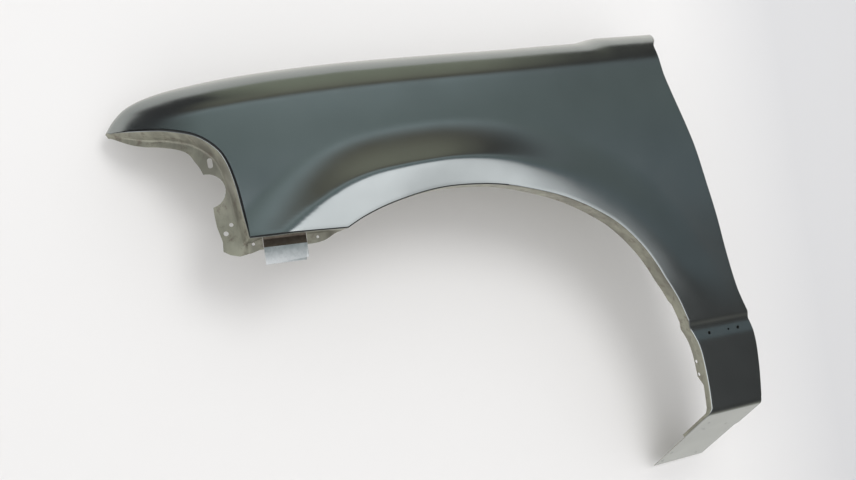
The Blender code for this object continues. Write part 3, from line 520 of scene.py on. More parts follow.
def through(pairs, at):
    """The value at a place on a smooth curve through (place, value) pairs, with no overshoot."""
    places, values = zip(*pairs)
    at = min(max(at, places[0]), places[-1])
    steps = [after - before for before, after in zip(places, places[1:])]
    slopes = [(after - before) / step for before, after, step in zip(values, values[1:], steps)]
    inner = [2.0 * a * b / (a + b) if a * b > 0.0 else 0.0 for a, b in zip(slopes, slopes[1:])]
    tangents = [slopes[0], *inner, slopes[-1]]
    k = max(i for i in range(len(steps)) if places[i] <= at)
    t = (at - places[k]) / steps[k]
    return ((1 + 2 * t) * (1 - t) ** 2 * values[k] + t * (1 - t) ** 2 * steps[k] * tangents[k]
            + t * t * (3 - 2 * t) * values[k + 1] + t * t * (t - 1) * steps[k] * tangents[k + 1])


def arch_radius(angle):
    """Radius of the arch lip at an angle above the rearward horizontal."""
    return ARCH_RADIUS + ARCH_BULGE * through(ARCH_BULGE_SHARES, angle / math.pi)


def flare(x, z):
    """Depth of the flare behind its ridge: the lip band, the rounded ridge and the slope above."""
    angle = math.atan2(z, x)
    out = math.hypot(x, z) - arch_radius(angle)
    front = ease((angle - ARCH_FRONT_FROM) / (ARCH_FRONT_TO - ARCH_FRONT_FROM))
    rear = ease((RIDGE_REAR_FROM - angle) / (RIDGE_REAR_FROM - RIDGE_REAR_TO))
    ridge = RIDGE_OFFSET + RIDGE_FRONT_GAIN * front
    crest = RIDGE_REAR_DEPTH * rear
    band = crest + (LIP_SETBACK - crest) * (ridge - out) / ridge
    share = (out - ridge) / FLARE_REACH
    rise = FLARE_EASE * share if share <= 0.0 else 1.0 - max(1.0 - share, 0.0) ** FLARE_EASE
    slope = crest + (FLARE_DEPTH - crest) * rise
    rounding = RIDGE_ROUNDING + (RIDGE_REAR_ROUNDING - RIDGE_ROUNDING) * rear
    split = math.hypot(band - slope, 2.0 * rounding)
    return (band + slope + split) / 2.0 - RIDGE_ROUNDING


def side_depth(x, z):
    """Depth of the body side behind the outermost plane."""
    sweep = max(TIP_X + SWEEP_LENGTH - x, 0.0) / SWEEP_LENGTH
    nose = max(TIP_X + NOSE_LENGTH - x, 0.0) / NOSE_LENGTH
    tumble = max(z - ARCH_RADIUS, 0.0) / TUMBLE_SPAN
    flared = ease((z - FLARE_FADE_FOOT) / (FLARE_FADE_TOP - FLARE_FADE_FOOT))
    leg = LIP_SETBACK + LEG_SLANT_SHARE * (x - ARCH_RADIUS)
    step = STEP_DEPTH * ease((STEP_TOP_Z - z) / (STEP_TOP_Z - STEP_FOOT_Z))
    step -= STRIP_LEAN * min(max((STEP_FOOT_Z - z) / (STEP_FOOT_Z - STRIP_FOOT_Z), 0.0), 1.0)
    depth = SWEEP_DEPTH * sweep ** 2 + NOSE_DEPTH * nose ** 2 + TUMBLE_DEPTH * tumble ** 2
    if flared > 0.0:
        depth += flared * flare(x, z)
    return depth + (1.0 - flared) * leg + step


def hood_share(x):
    """Share of the way from the nose tip to the rear end of the hood line."""
    return (x - TIP_X) / (HOOD_REAR_X - TIP_X)


def kick(x):
    """How far the hood line is kicked up near its rear end, beside the hinge."""
    return KICK_RISE * ease((hood_share(x) - KICK_SHARES[0]) / (KICK_SHARES[1] - KICK_SHARES[0]))


def shoulder_height(x):
    """Height at which the body side starts to roll over."""
    hood = TIP_Z + (HOOD_REAR_Z - TIP_Z) * through(HOOD_LINE_SHARES, hood_share(x))
    return hood - ROLL_HEIGHT * math.sin(ROLL_TURN)


def roll_width(x):
    """How far in the shoulder rolls, which narrows towards the nose tip."""
    share = ease((x - TIP_X + ROLL_TAPER_AHEAD) / ROLL_TAPER_LENGTH)
    return ROLL_TIP_WIDTH + (ROLL_WIDTH - ROLL_TIP_WIDTH) * share


def skin(x, girth):
    """A point of the skin from its length along the vehicle and its height along the sheet."""
    start = shoulder_height(x)
    if girth <= start:
        return Vector((x, side_depth(x, girth), girth))
    turn = ROLL_TURN * (girth - start) / ROLL_GIRTH
    z = start + (ROLL_HEIGHT + kick(x)) * math.sin(turn)
    return Vector((x, side_depth(x, z) + roll_width(x) * (1.0 - math.cos(turn)), z))


def hood_edge(x):
    """The hood line in the plane of the flattened sheet."""
    return Vector((x, shoulder_height(x) + ROLL_GIRTH))

# %% The edges of the skin
def lamp_edge(share):
    """The headlamp edge in that plane, from the lower corner to the nose tip."""
    tip = hood_edge(TIP_X)
    runs = [0.0]
    for before, after in zip(LAMP_EDGE_SHARES, LAMP_EDGE_SHARES[1:]):
        runs.append(runs[-1] + math.hypot(after[0] - before[0], after[1] - before[1]))
    along = share * runs[-1]
    forward = through([(run, point[0]) for run, point in zip(runs, LAMP_EDGE_SHARES)], along)
    rise = through([(run, point[1]) for run, point in zip(runs, LAMP_EDGE_SHARES)], along)
    return Vector((LAMP_CORNER_X + (TIP_X - LAMP_CORNER_X) * forward,
                   LAMP_CORNER_Z + (tip.y - LAMP_CORNER_Z) * rise))


def rear_edge(girth):
    """The rear edge in that plane, at a height along the sheet."""
    top = hood_edge(HOOD_REAR_X).y
    share = through(REAR_EDGE_SHARES, (girth - LEG_FOOT_Z) / (top - LEG_FOOT_Z))
    x = NECK_REAR_X + (LEG_REAR_X - NECK_REAR_X) * share
    return Vector((x, girth))


def arch_edge(angle):
    """The arch lip in that plane, short of it by the fold of the flange."""
    radius = arch_radius(angle) + FOLD_RADIUS
    return Vector((radius * math.cos(angle), radius * math.sin(angle)))


def arch_angle_at(z):
    """The angle at which the rear half of the arch lip reaches a height."""
    angle = 0.0
    for _ in range(ANGLE_PASSES):
        angle = math.asin(z / (arch_radius(angle) + FOLD_RADIUS))
    return angle


def arch_front_angle():
    """The angle at which the arch meets the front lower edge."""
    angle = ARCH_FRONT_TO
    for _ in range(ANGLE_PASSES):
        angle = math.pi - math.asin(SILL_FRONT_Z / (arch_radius(angle) + FOLD_RADIUS))
    return angle

# %% [markdown]
# A smooth loft between the arch and the outer edges needs sections that fan round the opening, as a
# presser's draw lines do. Each section is a row of places in the plan, close together over the flare's
# ridge, where the surface turns fastest.


# %% Sections of the skin
def near_rows():
    """Shares of the rows near the arch, with the rows between the main ones."""
    shares = []
    for low, high in zip(NEAR_ROW_SHARES, NEAR_ROW_SHARES[1:]):
        shares += [low + (high - low) * k / NEAR_ROW_SPLITS for k in range(NEAR_ROW_SPLITS)]
    return shares + [NEAR_ROW_SHARES[-1]]


def section(inner, outer, bow):
    """Points of one section of the skin, from the arch side to the hood or door side."""
    length = (outer - inner).length
    reference = hood_edge(0.0).y - ARCH_RADIUS
    near = [share * min(reference / length, 1.0) for share in near_rows()]
    shares = near + [near[-1] + (1.0 - near[-1]) * k / FAR_ROWS for k in range(1, FAR_ROWS + 1)]
    corner, tip = lamp_edge(0.0), lamp_edge(1.0)
    points = []
    for share in shares:
        place = inner.lerp(outer, share)
        if bow > 0.0:
            place += bow * (lamp_edge(share) - corner.lerp(tip, share))
        points.append(place)
    return points


def skin_columns():
    """Sections of the skin in the plane of the flattened sheet, from the headlamp edge to the foot."""
    corner = lamp_edge(0.0)
    front_angle = arch_front_angle()
    arch_start = arch_edge(front_angle)
    quarter_x = TIP_X + (HOOD_REAR_X - TIP_X) * (front_angle / math.pi) / 3.0
    columns = []
    for k in range(FRONT_COLUMNS):
        share = k / FRONT_COLUMNS
        outer = hood_edge(TIP_X + (quarter_x - TIP_X) * share ** FRONT_SPREAD_POWER)
        columns.append(section(corner.lerp(arch_start, share), outer, 1.0 - ease(share * FRONT_BOW_FADE)))
    left = 1.0 - ease(FRONT_BOW_FADE)
    for k in range(ARCH_FRONT_COLUMNS):
        share = k / ARCH_FRONT_COLUMNS
        angle = front_angle + (ARCH_TOP_ANGLE - front_angle) * share
        outer = hood_edge(quarter_x * (1.0 - share))
        columns.append(section(arch_edge(angle), outer, left * (1.0 - ease(share * ARCH_BOW_FADE))))
    for k in range(ARCH_REAR_COLUMNS):
        share = k / ARCH_REAR_COLUMNS
        angle = ARCH_TOP_ANGLE + (ARCH_CORNER_ANGLE - ARCH_TOP_ANGLE) * share
        columns.append(section(arch_edge(angle), hood_edge(HOOD_REAR_X * share), 0.0))
    top, low_angle = hood_edge(HOOD_REAR_X).y, arch_angle_at(LEG_TOP_Z)
    for k in range(BODY_COLUMNS):
        share = k / BODY_COLUMNS
        angle = ARCH_CORNER_ANGLE + (low_angle - ARCH_CORNER_ANGLE) * share
        columns.append(section(arch_edge(angle), rear_edge(top + (LEG_TOP_Z - top) * share), 0.0))
    for z in leg_heights():
        columns.append(section(arch_edge(arch_angle_at(z)), rear_edge(z), 0.0))
    return columns


def leg_heights():
    """Heights of the level sections of the leg, close together over the step."""
    step = STEP_TOP_Z - STEP_FOOT_Z
    heights = [LEG_TOP_Z, FLANGE_NOTCH_FOOT_Z, LEG_KNEE_Z, STEP_TOP_Z]
    heights += [STEP_TOP_Z - step * k / STEP_COLUMNS for k in range(1, STEP_COLUMNS + 1)]
    strip = STEP_FOOT_Z - STRIP_FOOT_Z
    heights += [STEP_FOOT_Z - strip * k / STRIP_COLUMNS for k in range(1, STRIP_COLUMNS + 1)]
    leg = LEG_FLANGE_TOP_Z - STRIP_FOOT_Z
    heights += [STRIP_FOOT_Z + leg * k / LEG_COLUMNS for k in range(1, LEG_COLUMNS)]
    heights += [LEG_FLANGE_TOP_Z, LEG_FLANGE_FOOT_Z, 0.0, LEG_FOOT_Z]
    return heights

# %% The foot plate below the leg
def foot_place(share):
    """Depth and drop of the foot below the leg, and its limits in X, at a share of bend and plate."""
    turn = FOOT_BEND_TURN * min(share, 1.0)
    depth = FOOT_BEND_RADIUS * (1.0 - math.cos(turn))
    drop = FOOT_BEND_RADIUS * math.sin(turn)
    run = max(share - 1.0, 0.0)
    depth += FOOT_PLATE_LENGTH * run * math.sin(FOOT_BEND_TURN)
    drop += FOOT_PLATE_LENGTH * run * math.cos(FOOT_BEND_TURN)
    leg_front, leg_rear = arch_edge(arch_angle_at(LEG_FOOT_Z)).x, rear_edge(LEG_FOOT_Z).x
    front = leg_front + (ARCH_RADIUS - FOOT_FRONT_IN - leg_front) * min(share, 1.0)
    rear = leg_rear + (LEG_REAR_X - FOOT_REAR_IN - leg_rear) * ease(share)
    start, end = FOOT_NOTCH_SHARES
    rear -= FOOT_NOTCH_IN * min(max((run - start) / (end - start), 0.0), 1.0)
    return depth, drop, front, rear


def foot_point(share, across):
    """A point of the foot: share runs down the bend and the plate, across from front to rear."""
    depth, drop, front, rear = foot_place(share)
    x = front + (rear - front) * across
    return Vector((x, side_depth(x, LEG_FOOT_Z) + depth, LEG_FOOT_Z - drop))


def foot_shares():
    """Sections of the foot: through the bend, then down the plate with a pair at its notch."""
    shares = [(k + 1) / BEND_COLUMNS for k in range(BEND_COLUMNS)]
    runs = sorted({round(k / PLATE_COLUMNS, 4) for k in range(1, PLATE_COLUMNS + 1)} | set(FOOT_NOTCH_SHARES))
    return shares + [1.0 + run for run in runs]


def foot_inward(share):
    """The inward normal of the foot, which is that of the leg turned through the bend."""
    turn = FOOT_BEND_TURN * min(share, 1.0)
    return Vector((0.0, math.cos(turn), math.sin(turn)))

# %% [markdown]
# Each flange starts with a fold. A fold is an arc that leaves the skin along its own tangent and ends
# along the wall. The flange of the headlamp opening is joggled: fold, wall, fold back and lip, so that
# the lamp sits flush.


# %% Folds and directions
def turned(start, run, wall, radius, steps):
    """Points of a fold that leaves a point along one direction and ends along another."""
    run, wall = run.normalized(), wall.normalized()
    angle = run.angle(wall)
    across = (wall - run * run.dot(wall)).normalized()
    points = []
    for k in range(1, steps + 1):
        turn = angle * k / steps
        points.append(start + run * (radius * math.sin(turn)) + across * (radius * (1.0 - math.cos(turn))))
    return points


def surface_run(place, outward):
    """Direction in which the skin runs on past its edge, from a step in the flattened plane."""
    step = outward.normalized() * PROBE
    return (skin(place.x, place.y) - skin(place.x - step.x, place.y - step.y)).normalized()


def inward_normal(place):
    """The direction square to the skin on its inner side."""
    level = skin(place.x + PROBE, place.y) - skin(place.x, place.y)
    upward = skin(place.x, place.y + PROBE) - skin(place.x, place.y)
    return upward.cross(level).normalized()


def joggled_rows(start, run, wall, wall_length, lip, lip_length, radius):
    """One section of a joggled flange: fold, wall, fold back and lip."""
    wall, lip = wall.normalized(), lip.normalized()
    points = turned(start, run, wall, radius, FOLD_STEPS)
    foot = points[-1] + wall * wall_length
    points.append(foot)
    points += turned(foot, wall, lip, radius, FOLD_STEPS)
    points.append(points[-1] + lip * lip_length)
    return points


def plain_rows(start, run, wall, depth):
    """One section of a plain flange: fold and wall, with as many points as a joggled one."""
    wall = wall.normalized()
    points = turned(start, run, wall, FOLD_RADIUS, FOLD_STEPS)
    foot = points[-1]
    count = FOLD_STEPS + 2
    return points + [foot + wall * (depth * k / count) for k in range(1, count + 1)]

# %% [markdown]
# The skin and the start of each fold are sprayed from outside, and round the headlamp opening the fold
# has painted shade, nearly black, in place of its dark reflection. The rest of the flanges and the whole
# back have only the thin dip coat. So each face of the mesh has a material slot, and the slot after it is its
# back's.


# %% The open sheet
SPRAYED, DIPPED, SHADE_PAINTED = 0, 1, 3
SLOTS = (primer, coat, coat, fold_shade, coat)
FOLD_FINISHES = (SPRAYED, SPRAYED)
# The first three fold rows round the headlamp opening carry the painted shade.
LAMP_FOLD_SHADE_AND_PRIMER = (SHADE_PAINTED, SHADE_PAINTED, SHADE_PAINTED, SPRAYED)


class Sheet:
    """Collects the points and faces of the open sheet."""

    def __init__(self):
        self.points = []
        self.faces = []
        self.slots = []

    def add(self, point):
        self.points.append(point)
        return len(self.points) - 1

    def band(self, first, second, slot):
        """Faces between two rows of point numbers, with the outer side to the left of the first."""
        for k in range(len(first) - 1):
            ring = [first[k], first[k + 1], second[k + 1], second[k]]
            face = [number for i, number in enumerate(ring) if number != ring[i - 1]]
            if len(face) > 2:
                self.faces.append(face)
                self.slots.append(slot)

    def flange(self, lines, finishes, turned_over=False):
        """Faces along the sections of a flange; rows past the given finishes are dipped."""
        for row in range(len(lines[0]) - 1):
            slot = finishes[row] if row < len(finishes) else DIPPED
            sides = [line[row] for line in lines], [line[row + 1] for line in lines]
            self.band(*(reversed(sides) if turned_over else sides), slot)

    def mesh(self, name):
        mesh = bpy.data.meshes.new(name)
        mesh.from_pydata([tuple(point) for point in self.points], [], self.faces)
        mesh.polygons.foreach_set("material_index", self.slots)
        mesh.validate()
        return mesh

# %% The flanges
def opening_turns(place, run, tilt, tip):
    """Directions of the wall and the lip of the headlamp flange at a place on the edge of the skin.

    The wall stands square to the skin but straight across the vehicle; near the tip the lip only
    carries the wall on.
    """
    inward = inward_normal(place)
    inward = Vector((0.0, inward.y, inward.z)).normalized()
    out = (run - inward * run.dot(inward)).normalized()
    wall = inward * math.cos(tilt) + out * math.sin(tilt)
    lip = (out + Vector((0.0, LAMP_LIP_SLOPE * max(-out.x, 0.0), 0.0))).normalized()
    return wall, lip.slerp(wall, tip)


def lamp_lines(sheet, columns, grid):
    """Sections of the flange from the nose tip down the headlamp edge and round its lower corner."""
    lines = []
    rows = len(columns[0])
    for j in range(rows - 1, -1, -1):
        place = columns[0][j]
        step = columns[0][max(j - 1, 0)] - columns[0][min(j + 1, rows - 1)]
        outward = Vector((step.y, -step.x)).normalized()
        run = surface_run(place, outward)
        share = 1.0 - j / (rows - 1)
        tip = TIP_LIP_TURN_SHARE * (1.0 - ease(share / TIP_SHARE))
        wall, lip = opening_turns(place, run, LAMP_WALL_TILT, tip)
        wall_length = LAMP_WALL_DEPTH * through(LAMP_WALL_SHARES, share)
        lip_length = LAMP_LIP_WIDTH * through(LAMP_LIP_SHARES, share)
        radius = FOLD_RADIUS * through(LAMP_FOLD_SHARES, share)
        base = grid[0][j]
        start = sheet.points[base]
        lines.append([base, joggled_rows(start, run, wall, wall_length, lip, lip_length, radius)])
    down = Vector((0.0, -1.0))
    corner = outward.angle(down)
    for share in LAMP_CORNER_SHARES:
        run = surface_run(columns[0][0], outward.slerp(down, share))
        wall, lip = opening_turns(columns[0][0], run, LAMP_WALL_TILT, 0.0)
        angle = corner * share
        spread = min(LAMP_LIP_WIDTH / math.cos(angle), FRONT_LIP_WIDTH / math.sin(angle))
        lines.append([base, joggled_rows(start, run, wall, LAMP_WALL_DEPTH, lip, spread, FOLD_RADIUS)])
    return lines


def front_section(place, start, share):
    """One section of the flange under the front lower edge, whose lip turns in towards the arch."""
    run = surface_run(place, Vector((0.0, -1.0)))
    tilt = LAMP_WALL_TILT * (1.0 - ease(share / BRACKET_SHARE))
    wall = INWARD * math.cos(tilt) - UP * math.sin(tilt)
    turn_from, turn = FRONT_LIP_TURN_SHARES
    lip = (-UP).slerp(INWARD, turn * ease((share - turn_from) / (1.0 - turn_from)))
    fade_from, fade = FRONT_LIP_FADE_SHARES
    reach = FRONT_LIP_WIDTH * (1.0 - fade * ease((share - fade_from) / (1.0 - fade_from)))
    return joggled_rows(start, run, wall, LAMP_WALL_DEPTH, lip, reach, FOLD_RADIUS)


def arch_section(place, start):
    """One section of the flange of the arch, which leans into the opening."""
    radial = Vector((-place.x, 0.0, -place.y)).normalized()
    tilt = flange_tilt(math.atan2(place.y, place.x))
    wall = INWARD * math.cos(tilt) + radial * math.sin(tilt)
    return plain_rows(start, surface_run(place, -place), wall, arch_flange_depth(place))


def inner_flange(sheet, columns, grid):
    """The flange that runs from the nose tip round the headlamp opening, the arch and the foot."""
    lines = lamp_lines(sheet, columns, grid)
    for i, column in enumerate(columns):
        place, base, share = column[0], grid[i][0], i / FRONT_COLUMNS
        start = sheet.points[base]
        rows = front_section(place, start, share) if share < 1.0 else arch_section(place, start)
        lines.append([base, rows])
    for i, share in enumerate(foot_shares()):
        if share - 1.0 > FOOT_FLANGE_SHARE:
            break
        base = grid[len(columns) + i][0]
        depth = LEG_FLANGE_DEPTH + (FOOT_FLANGE_DEPTH - LEG_FLANGE_DEPTH) * ease(share)
        lines.append([base, plain_rows(sheet.points[base], -ALONG, foot_inward(share), depth)])
    numbered = [[base] + [sheet.add(point) for point in points] for base, points in lines]
    # The painted fold shade ends a little behind the crown of the arch.
    painted_shade_end = len(lines) - len(columns) - 1 + FRONT_COLUMNS + ARCH_FRONT_COLUMNS
    sheet.flange(numbered[:painted_shade_end + 1], LAMP_FOLD_SHADE_AND_PRIMER, True)
    sheet.flange(numbered[painted_shade_end:], FOLD_FINISHES, True)


def flange_tilt(angle):
    """How far the arch flange leans into the opening, which is most where the arch turns down."""
    rise = ease((angle - ARCH_FLANGE_LEAN_LOW) / (ARCH_FLANGE_LEAN_MOST - ARCH_FLANGE_LEAN_LOW))
    fall = ease((angle - ARCH_FLANGE_LEAN_MOST) / (ARCH_FLANGE_LEAN_HIGH - ARCH_FLANGE_LEAN_MOST))
    return (LEG_FLANGE_TILT + (ARCH_FLANGE_TILT - LEG_FLANGE_TILT) * rise) * (1.0 - fall)


def arch_flange_depth(place):
    """Depth of the arch flange: stepped at its notch, and narrow on the lower leg."""
    if place.x < 0.0 or place.y > LEG_TOP_Z - PROBE:
        return ARCH_FLANGE_DEPTH + FLANGE_NOTCH_IN
    narrow = ease((LEG_FLANGE_TOP_Z - place.y) / (LEG_FLANGE_TOP_Z - LEG_FLANGE_FOOT_Z))
    return ARCH_FLANGE_DEPTH + (LEG_FLANGE_DEPTH - ARCH_FLANGE_DEPTH) * narrow


def hood_place(share):
    """Place in X at a share of the way from the nose tip to the rear end of the hood line."""
    return TIP_X + (HOOD_REAR_X - TIP_X) * share


def rail_height(x):
    """Height of the rail flange: level at the rear, falling to the front of its break."""
    return HOOD_REAR_Z - RAIL_DROP - RAIL_SLOPE_SHARE * max(hood_place(RAIL_BREAK_SHARE) - x, 0.0)


def rail_section(x):
    """The gutter wall below the hood line and the flange that is bolted to the wing rail."""
    edge = hood_edge(x)
    run = surface_run(edge, Vector((0.0, 1.0)))
    points = turned(skin(edge.x, edge.y), run, -UP, FOLD_RADIUS, FOLD_STEPS)
    wall_foot = Vector((x, points[-1].y, rail_height(x) + FOLD_RADIUS))
    points.append(wall_foot)
    points += turned(wall_foot, -UP, INWARD, FOLD_RADIUS, FOLD_STEPS)
    taper = ease((hood_share(x) - RAIL_START_SHARE) / RAIL_TAPER_SHARE)
    width = RAIL_WIDTH * (RAIL_START_WIDTH_SHARE + (1.0 - RAIL_START_WIDTH_SHARE) * taper)
    foot = points[-1]
    return points + [foot + INWARD * (width / 2.0), foot + INWARD * width]


def outer_flanges(sheet, columns, grid):
    """The rail flange along the hood line and the narrow flange in the door gap."""
    corner = FRONT_COLUMNS + ARCH_FRONT_COLUMNS + ARCH_REAR_COLUMNS
    lines = []
    for column, numbers in zip(columns[:corner], grid):
        x = column[-1].x
        if hood_share(x) >= RAIL_START_SHARE:
            lines.append([numbers[-1]] + [sheet.add(point) for point in rail_section(x)])
    sheet.flange(lines, FOLD_FINISHES)
    lines = []
    for i in range(corner + 1, len(columns)):
        place, base = columns[i][-1], grid[i][-1]
        step = columns[min(i + 1, len(columns) - 1)][-1] - columns[i - 1][-1]
        run = surface_run(place, Vector((-step.y, step.x)))
        inward = inward_normal(place) if place.y > shoulder_height(place.x) else INWARD
        share = min((i - corner) / BODY_COLUMNS / DOOR_FLANGE_TOP_SHARE, 1.0)
        top = DOOR_FLANGE_TOP_DEPTH_SHARE
        points = turned(sheet.points[base], run, inward, FOLD_RADIUS, FOLD_STEPS)
        points.append(points[-1] + inward * (DOOR_FLANGE_DEPTH * (top + (1.0 - top) * ease(share))))
        lines.append([base] + [sheet.add(point) for point in points])
    sheet.flange(lines, FOLD_FINISHES)

# %% The whole open sheet
def panel_mesh():
    """The whole stamping as an open sheet: skin, foot and flanges."""
    sheet = Sheet()
    columns = skin_columns()
    grid = [[sheet.add(skin(place.x, place.y)) for place in column] for column in columns]
    leg = columns[-1]
    length = (leg[-1] - leg[0]).length
    across = [(place - leg[0]).length / length for place in leg]
    for share in foot_shares():
        grid.append([sheet.add(foot_point(share, part)) for part in across])
    for first, second in zip(grid, grid[1:]):
        sheet.band(second, first, SPRAYED)
    inner_flange(sheet, columns, grid)
    outer_flanges(sheet, columns, grid)
    return sheet.mesh("fender_panel")

# %% [markdown]
# The open sheet gets its thickness from Solidify, and its holes from one Boolean with a collection of
# cutters. Solidify gives the back and the rim of a face the slot after its own, which is always dip coat.


# %% Cutters
def cutter(group, name, at, axis, radius, half_run=0.0, reach=CUTTER_DEPTH):
    """A round or slotted cutter; a slot's long side runs as near to vertical as its axis allows."""
    shape = bmesh.new()
    bmesh.ops.create_cone(shape, cap_ends=True, segments=HOLE_SIDES, radius1=radius, radius2=radius,
                          depth=2.0 * reach)
    for vert in shape.verts:
        vert.co.y += math.copysign(half_run, vert.co.y)
    place = Matrix.Translation(at) @ axis.to_track_quat("Z", "Y").to_matrix().to_4x4()
    bmesh.ops.transform(shape, matrix=place, verts=shape.verts)
    return finished(shape, name, group)


def box_cutter(group, name, low, high, place):
    """A square-edged cutter between two corners, in a frame of its own."""
    shape = bmesh.new()
    bmesh.ops.create_cube(shape, size=1.0)
    bmesh.ops.scale(shape, vec=high - low, verts=shape.verts)
    bmesh.ops.translate(shape, vec=(low + high) / 2.0, verts=shape.verts)
    bmesh.ops.transform(shape, matrix=place, verts=shape.verts)
    return finished(shape, name, group)


def finished(shape, name, group):
    """Turns a working mesh into an object."""
    mesh = bpy.data.meshes.new(name)
    shape.to_mesh(mesh)
    shape.free()
    thing = bpy.data.objects.new(name, mesh)
    group.objects.link(thing)
    return thing


def front_wall_foot(x):
    """Where the wall under the front lower edge ends, above its lip."""
    corner, start = lamp_edge(0.0), arch_edge(arch_front_angle())
    place = corner.lerp(start, (x - corner.x) / (start.x - corner.x))
    run = surface_run(place, Vector((0.0, -1.0)))
    fold = turned(skin(place.x, place.y), run, INWARD, FOLD_RADIUS, FOLD_STEPS)
    return fold[-1] + INWARD * LAMP_WALL_DEPTH


def bracket_frame():
    """A frame on the inner end of the front wall: along it, inward and up from its first corner."""
    first = front_wall_foot(LAMP_CORNER_X + BRACKET_INSET)
    last = front_wall_foot(LAMP_CORNER_X + BRACKET_INSET + BRACKET_WIDTH)
    along = (last - first).normalized()
    inward = Vector((-along.y, along.x, 0.0)).normalized()
    frame = Matrix((along, inward, along.cross(inward))).transposed().to_4x4()
    frame.translation = first
    return frame, (last - first).length


def make_cutters(group):
    """Every hole, slot and notch of the stamping."""
    for k, share in enumerate(RAIL_HOLE_SHARES):
        middle = rail_section(hood_place(share))[-2]
        cutter(group, f"rail_hole_{k + 1}", middle, UP, RAIL_HOLE_RADIUS)
    for k, (x, radius) in enumerate(leg_holes()):
        cutter(group, f"leg_hole_{k + 1}", skin(x, LEG_HOLE_Z), INWARD, radius)
    for k in range(2):
        z = ARCH_HOLE_Z - ARCH_HOLE_PITCH * k
        at = Vector((arch_edge(arch_angle_at(z)).x, ARCH_HOLE_DEPTH_IN, z))
        cutter(group, f"arch_hole_{k + 1}", at, ALONG, ARCH_HOLE_RADIUS)
    for k, (across, share, size) in enumerate(FOOT_HOLE_SHARES):
        at = foot_point(1.0 + share, across)
        cutter(group, f"foot_hole_{k + 1}", at, foot_inward(1.0), FOOT_HOLE_RADIUS * size)
    lip_in = LAMP_WALL_DEPTH + FOLD_RADIUS * 2.0
    for name, ahead, above, radius, half_run in (
            ("lamp_slot", LAMP_SLOT_AHEAD, LAMP_SLOT_ABOVE, LAMP_SLOT_RADIUS, LAMP_SLOT_HALF_RUN),
            ("lamp_hole", LAMP_HOLE_AHEAD, LAMP_HOLE_ABOVE, LAMP_HOLE_RADIUS, 0.0),
            ("lamp_locator", LOCATOR_AHEAD, LOCATOR_ABOVE, LOCATOR_RADIUS, 0.0),
            ("lamp_bite", BITE_AHEAD, BITE_ABOVE, BITE_RADIUS, 0.0)):
        at = skin(LAMP_CORNER_X - ahead, LAMP_CORNER_Z + above) + INWARD * lip_in
        cutter(group, name, at, INWARD, radius, half_run, CUTTER_REACH / 2.0)
    corner, start = lamp_edge(0.0), arch_edge(arch_front_angle())
    for k, share in enumerate(FRONT_HOLE_SHARES):
        foot = front_wall_foot(corner.x + (start.x - corner.x) * share)
        cutter(group, f"front_hole_{k + 1}", foot - UP * FRONT_HOLE_DROP, INWARD, FRONT_HOLE_RADIUS)
    frame, width = bracket_frame()
    low = Vector((-BRACKET_SIDE_GAP, -BRACKET_NOTCH, -CUTTER_REACH))
    high = Vector((width + BRACKET_SIDE_GAP, CUTTER_REACH, BRACKET_CLEARANCE))
    box_cutter(group, "bracket_gap", low, high, frame)


def leg_holes():
    """Place in X and radius of each hole in the strip across the leg."""
    front, rear = arch_edge(arch_angle_at(LEG_HOLE_Z)).x, rear_edge(LEG_HOLE_Z).x
    return [(front + (rear - front) * share, LEG_HOLE_RADIUS * size) for share, size in LEG_HOLE_SHARES]

# %% Thickness and holes
def plain_mesh(thing, name):
    """Replaces an object and its modifiers by one plain mesh at the origin."""
    evaluated = thing.evaluated_get(bpy.context.evaluated_depsgraph_get())
    mesh = bpy.data.meshes.new_from_object(evaluated)
    mesh.transform(thing.matrix_world)
    bpy.data.objects.remove(thing)
    made = bpy.data.objects.new(name, mesh)
    bpy.context.scene.collection.objects.link(made)
    return made


def smooth(thing):
    """Smooth shading, broken where faces meet at more than the sharp angle."""
    thing.data.shade_smooth()
    thing.data.set_sharp_from_angle(angle=SHARP_ANGLE)


def build_panel():
    """The stamping: open sheet, thickness, holes, then the move to the part's origin."""
    cutters = bpy.data.collections.new("fender_cutters")
    bpy.context.scene.collection.children.link(cutters)
    make_cutters(cutters)
    sheet = bpy.data.objects.new("open_sheet", panel_mesh())
    for finish in SLOTS:
        sheet.data.materials.append(finish)
    bpy.context.scene.collection.objects.link(sheet)
    solid = sheet.modifiers.new("sheet thickness", "SOLIDIFY")
    solid.thickness = SHEET
    solid.offset = -1.0
    solid.use_even_offset = True
    solid.material_offset = 1
    solid.material_offset_rim = 1
    cut = sheet.modifiers.new("holes", "BOOLEAN")
    cut.operation = "DIFFERENCE"
    cut.operand_type = "COLLECTION"
    cut.collection = cutters
    cut.solver = "EXACT"
    made = plain_mesh(sheet, "pressed_panel")
    for thing in list(cutters.objects):
        bpy.data.objects.remove(thing)
    bpy.data.collections.remove(cutters)
    made.data.transform(Matrix.Translation(wheel_centre))
    smooth(made)
    return made


middle = rail_section(hood_place(MOUNT_SHARE))[-2]
wheel_centre = Vector((-middle.x, -middle.y, SHEET - middle.z))
panel = build_panel()
print("panel triangles:", sum(len(face.vertices) - 2 for face in panel.data.polygons))

# %% [markdown]
# The bumper tab is bent from thicker, galvanised strip. Here it is the same profile as in the CAD source
# with more steps in each bend, swept straight across, with rounded lower corners and broken edges.


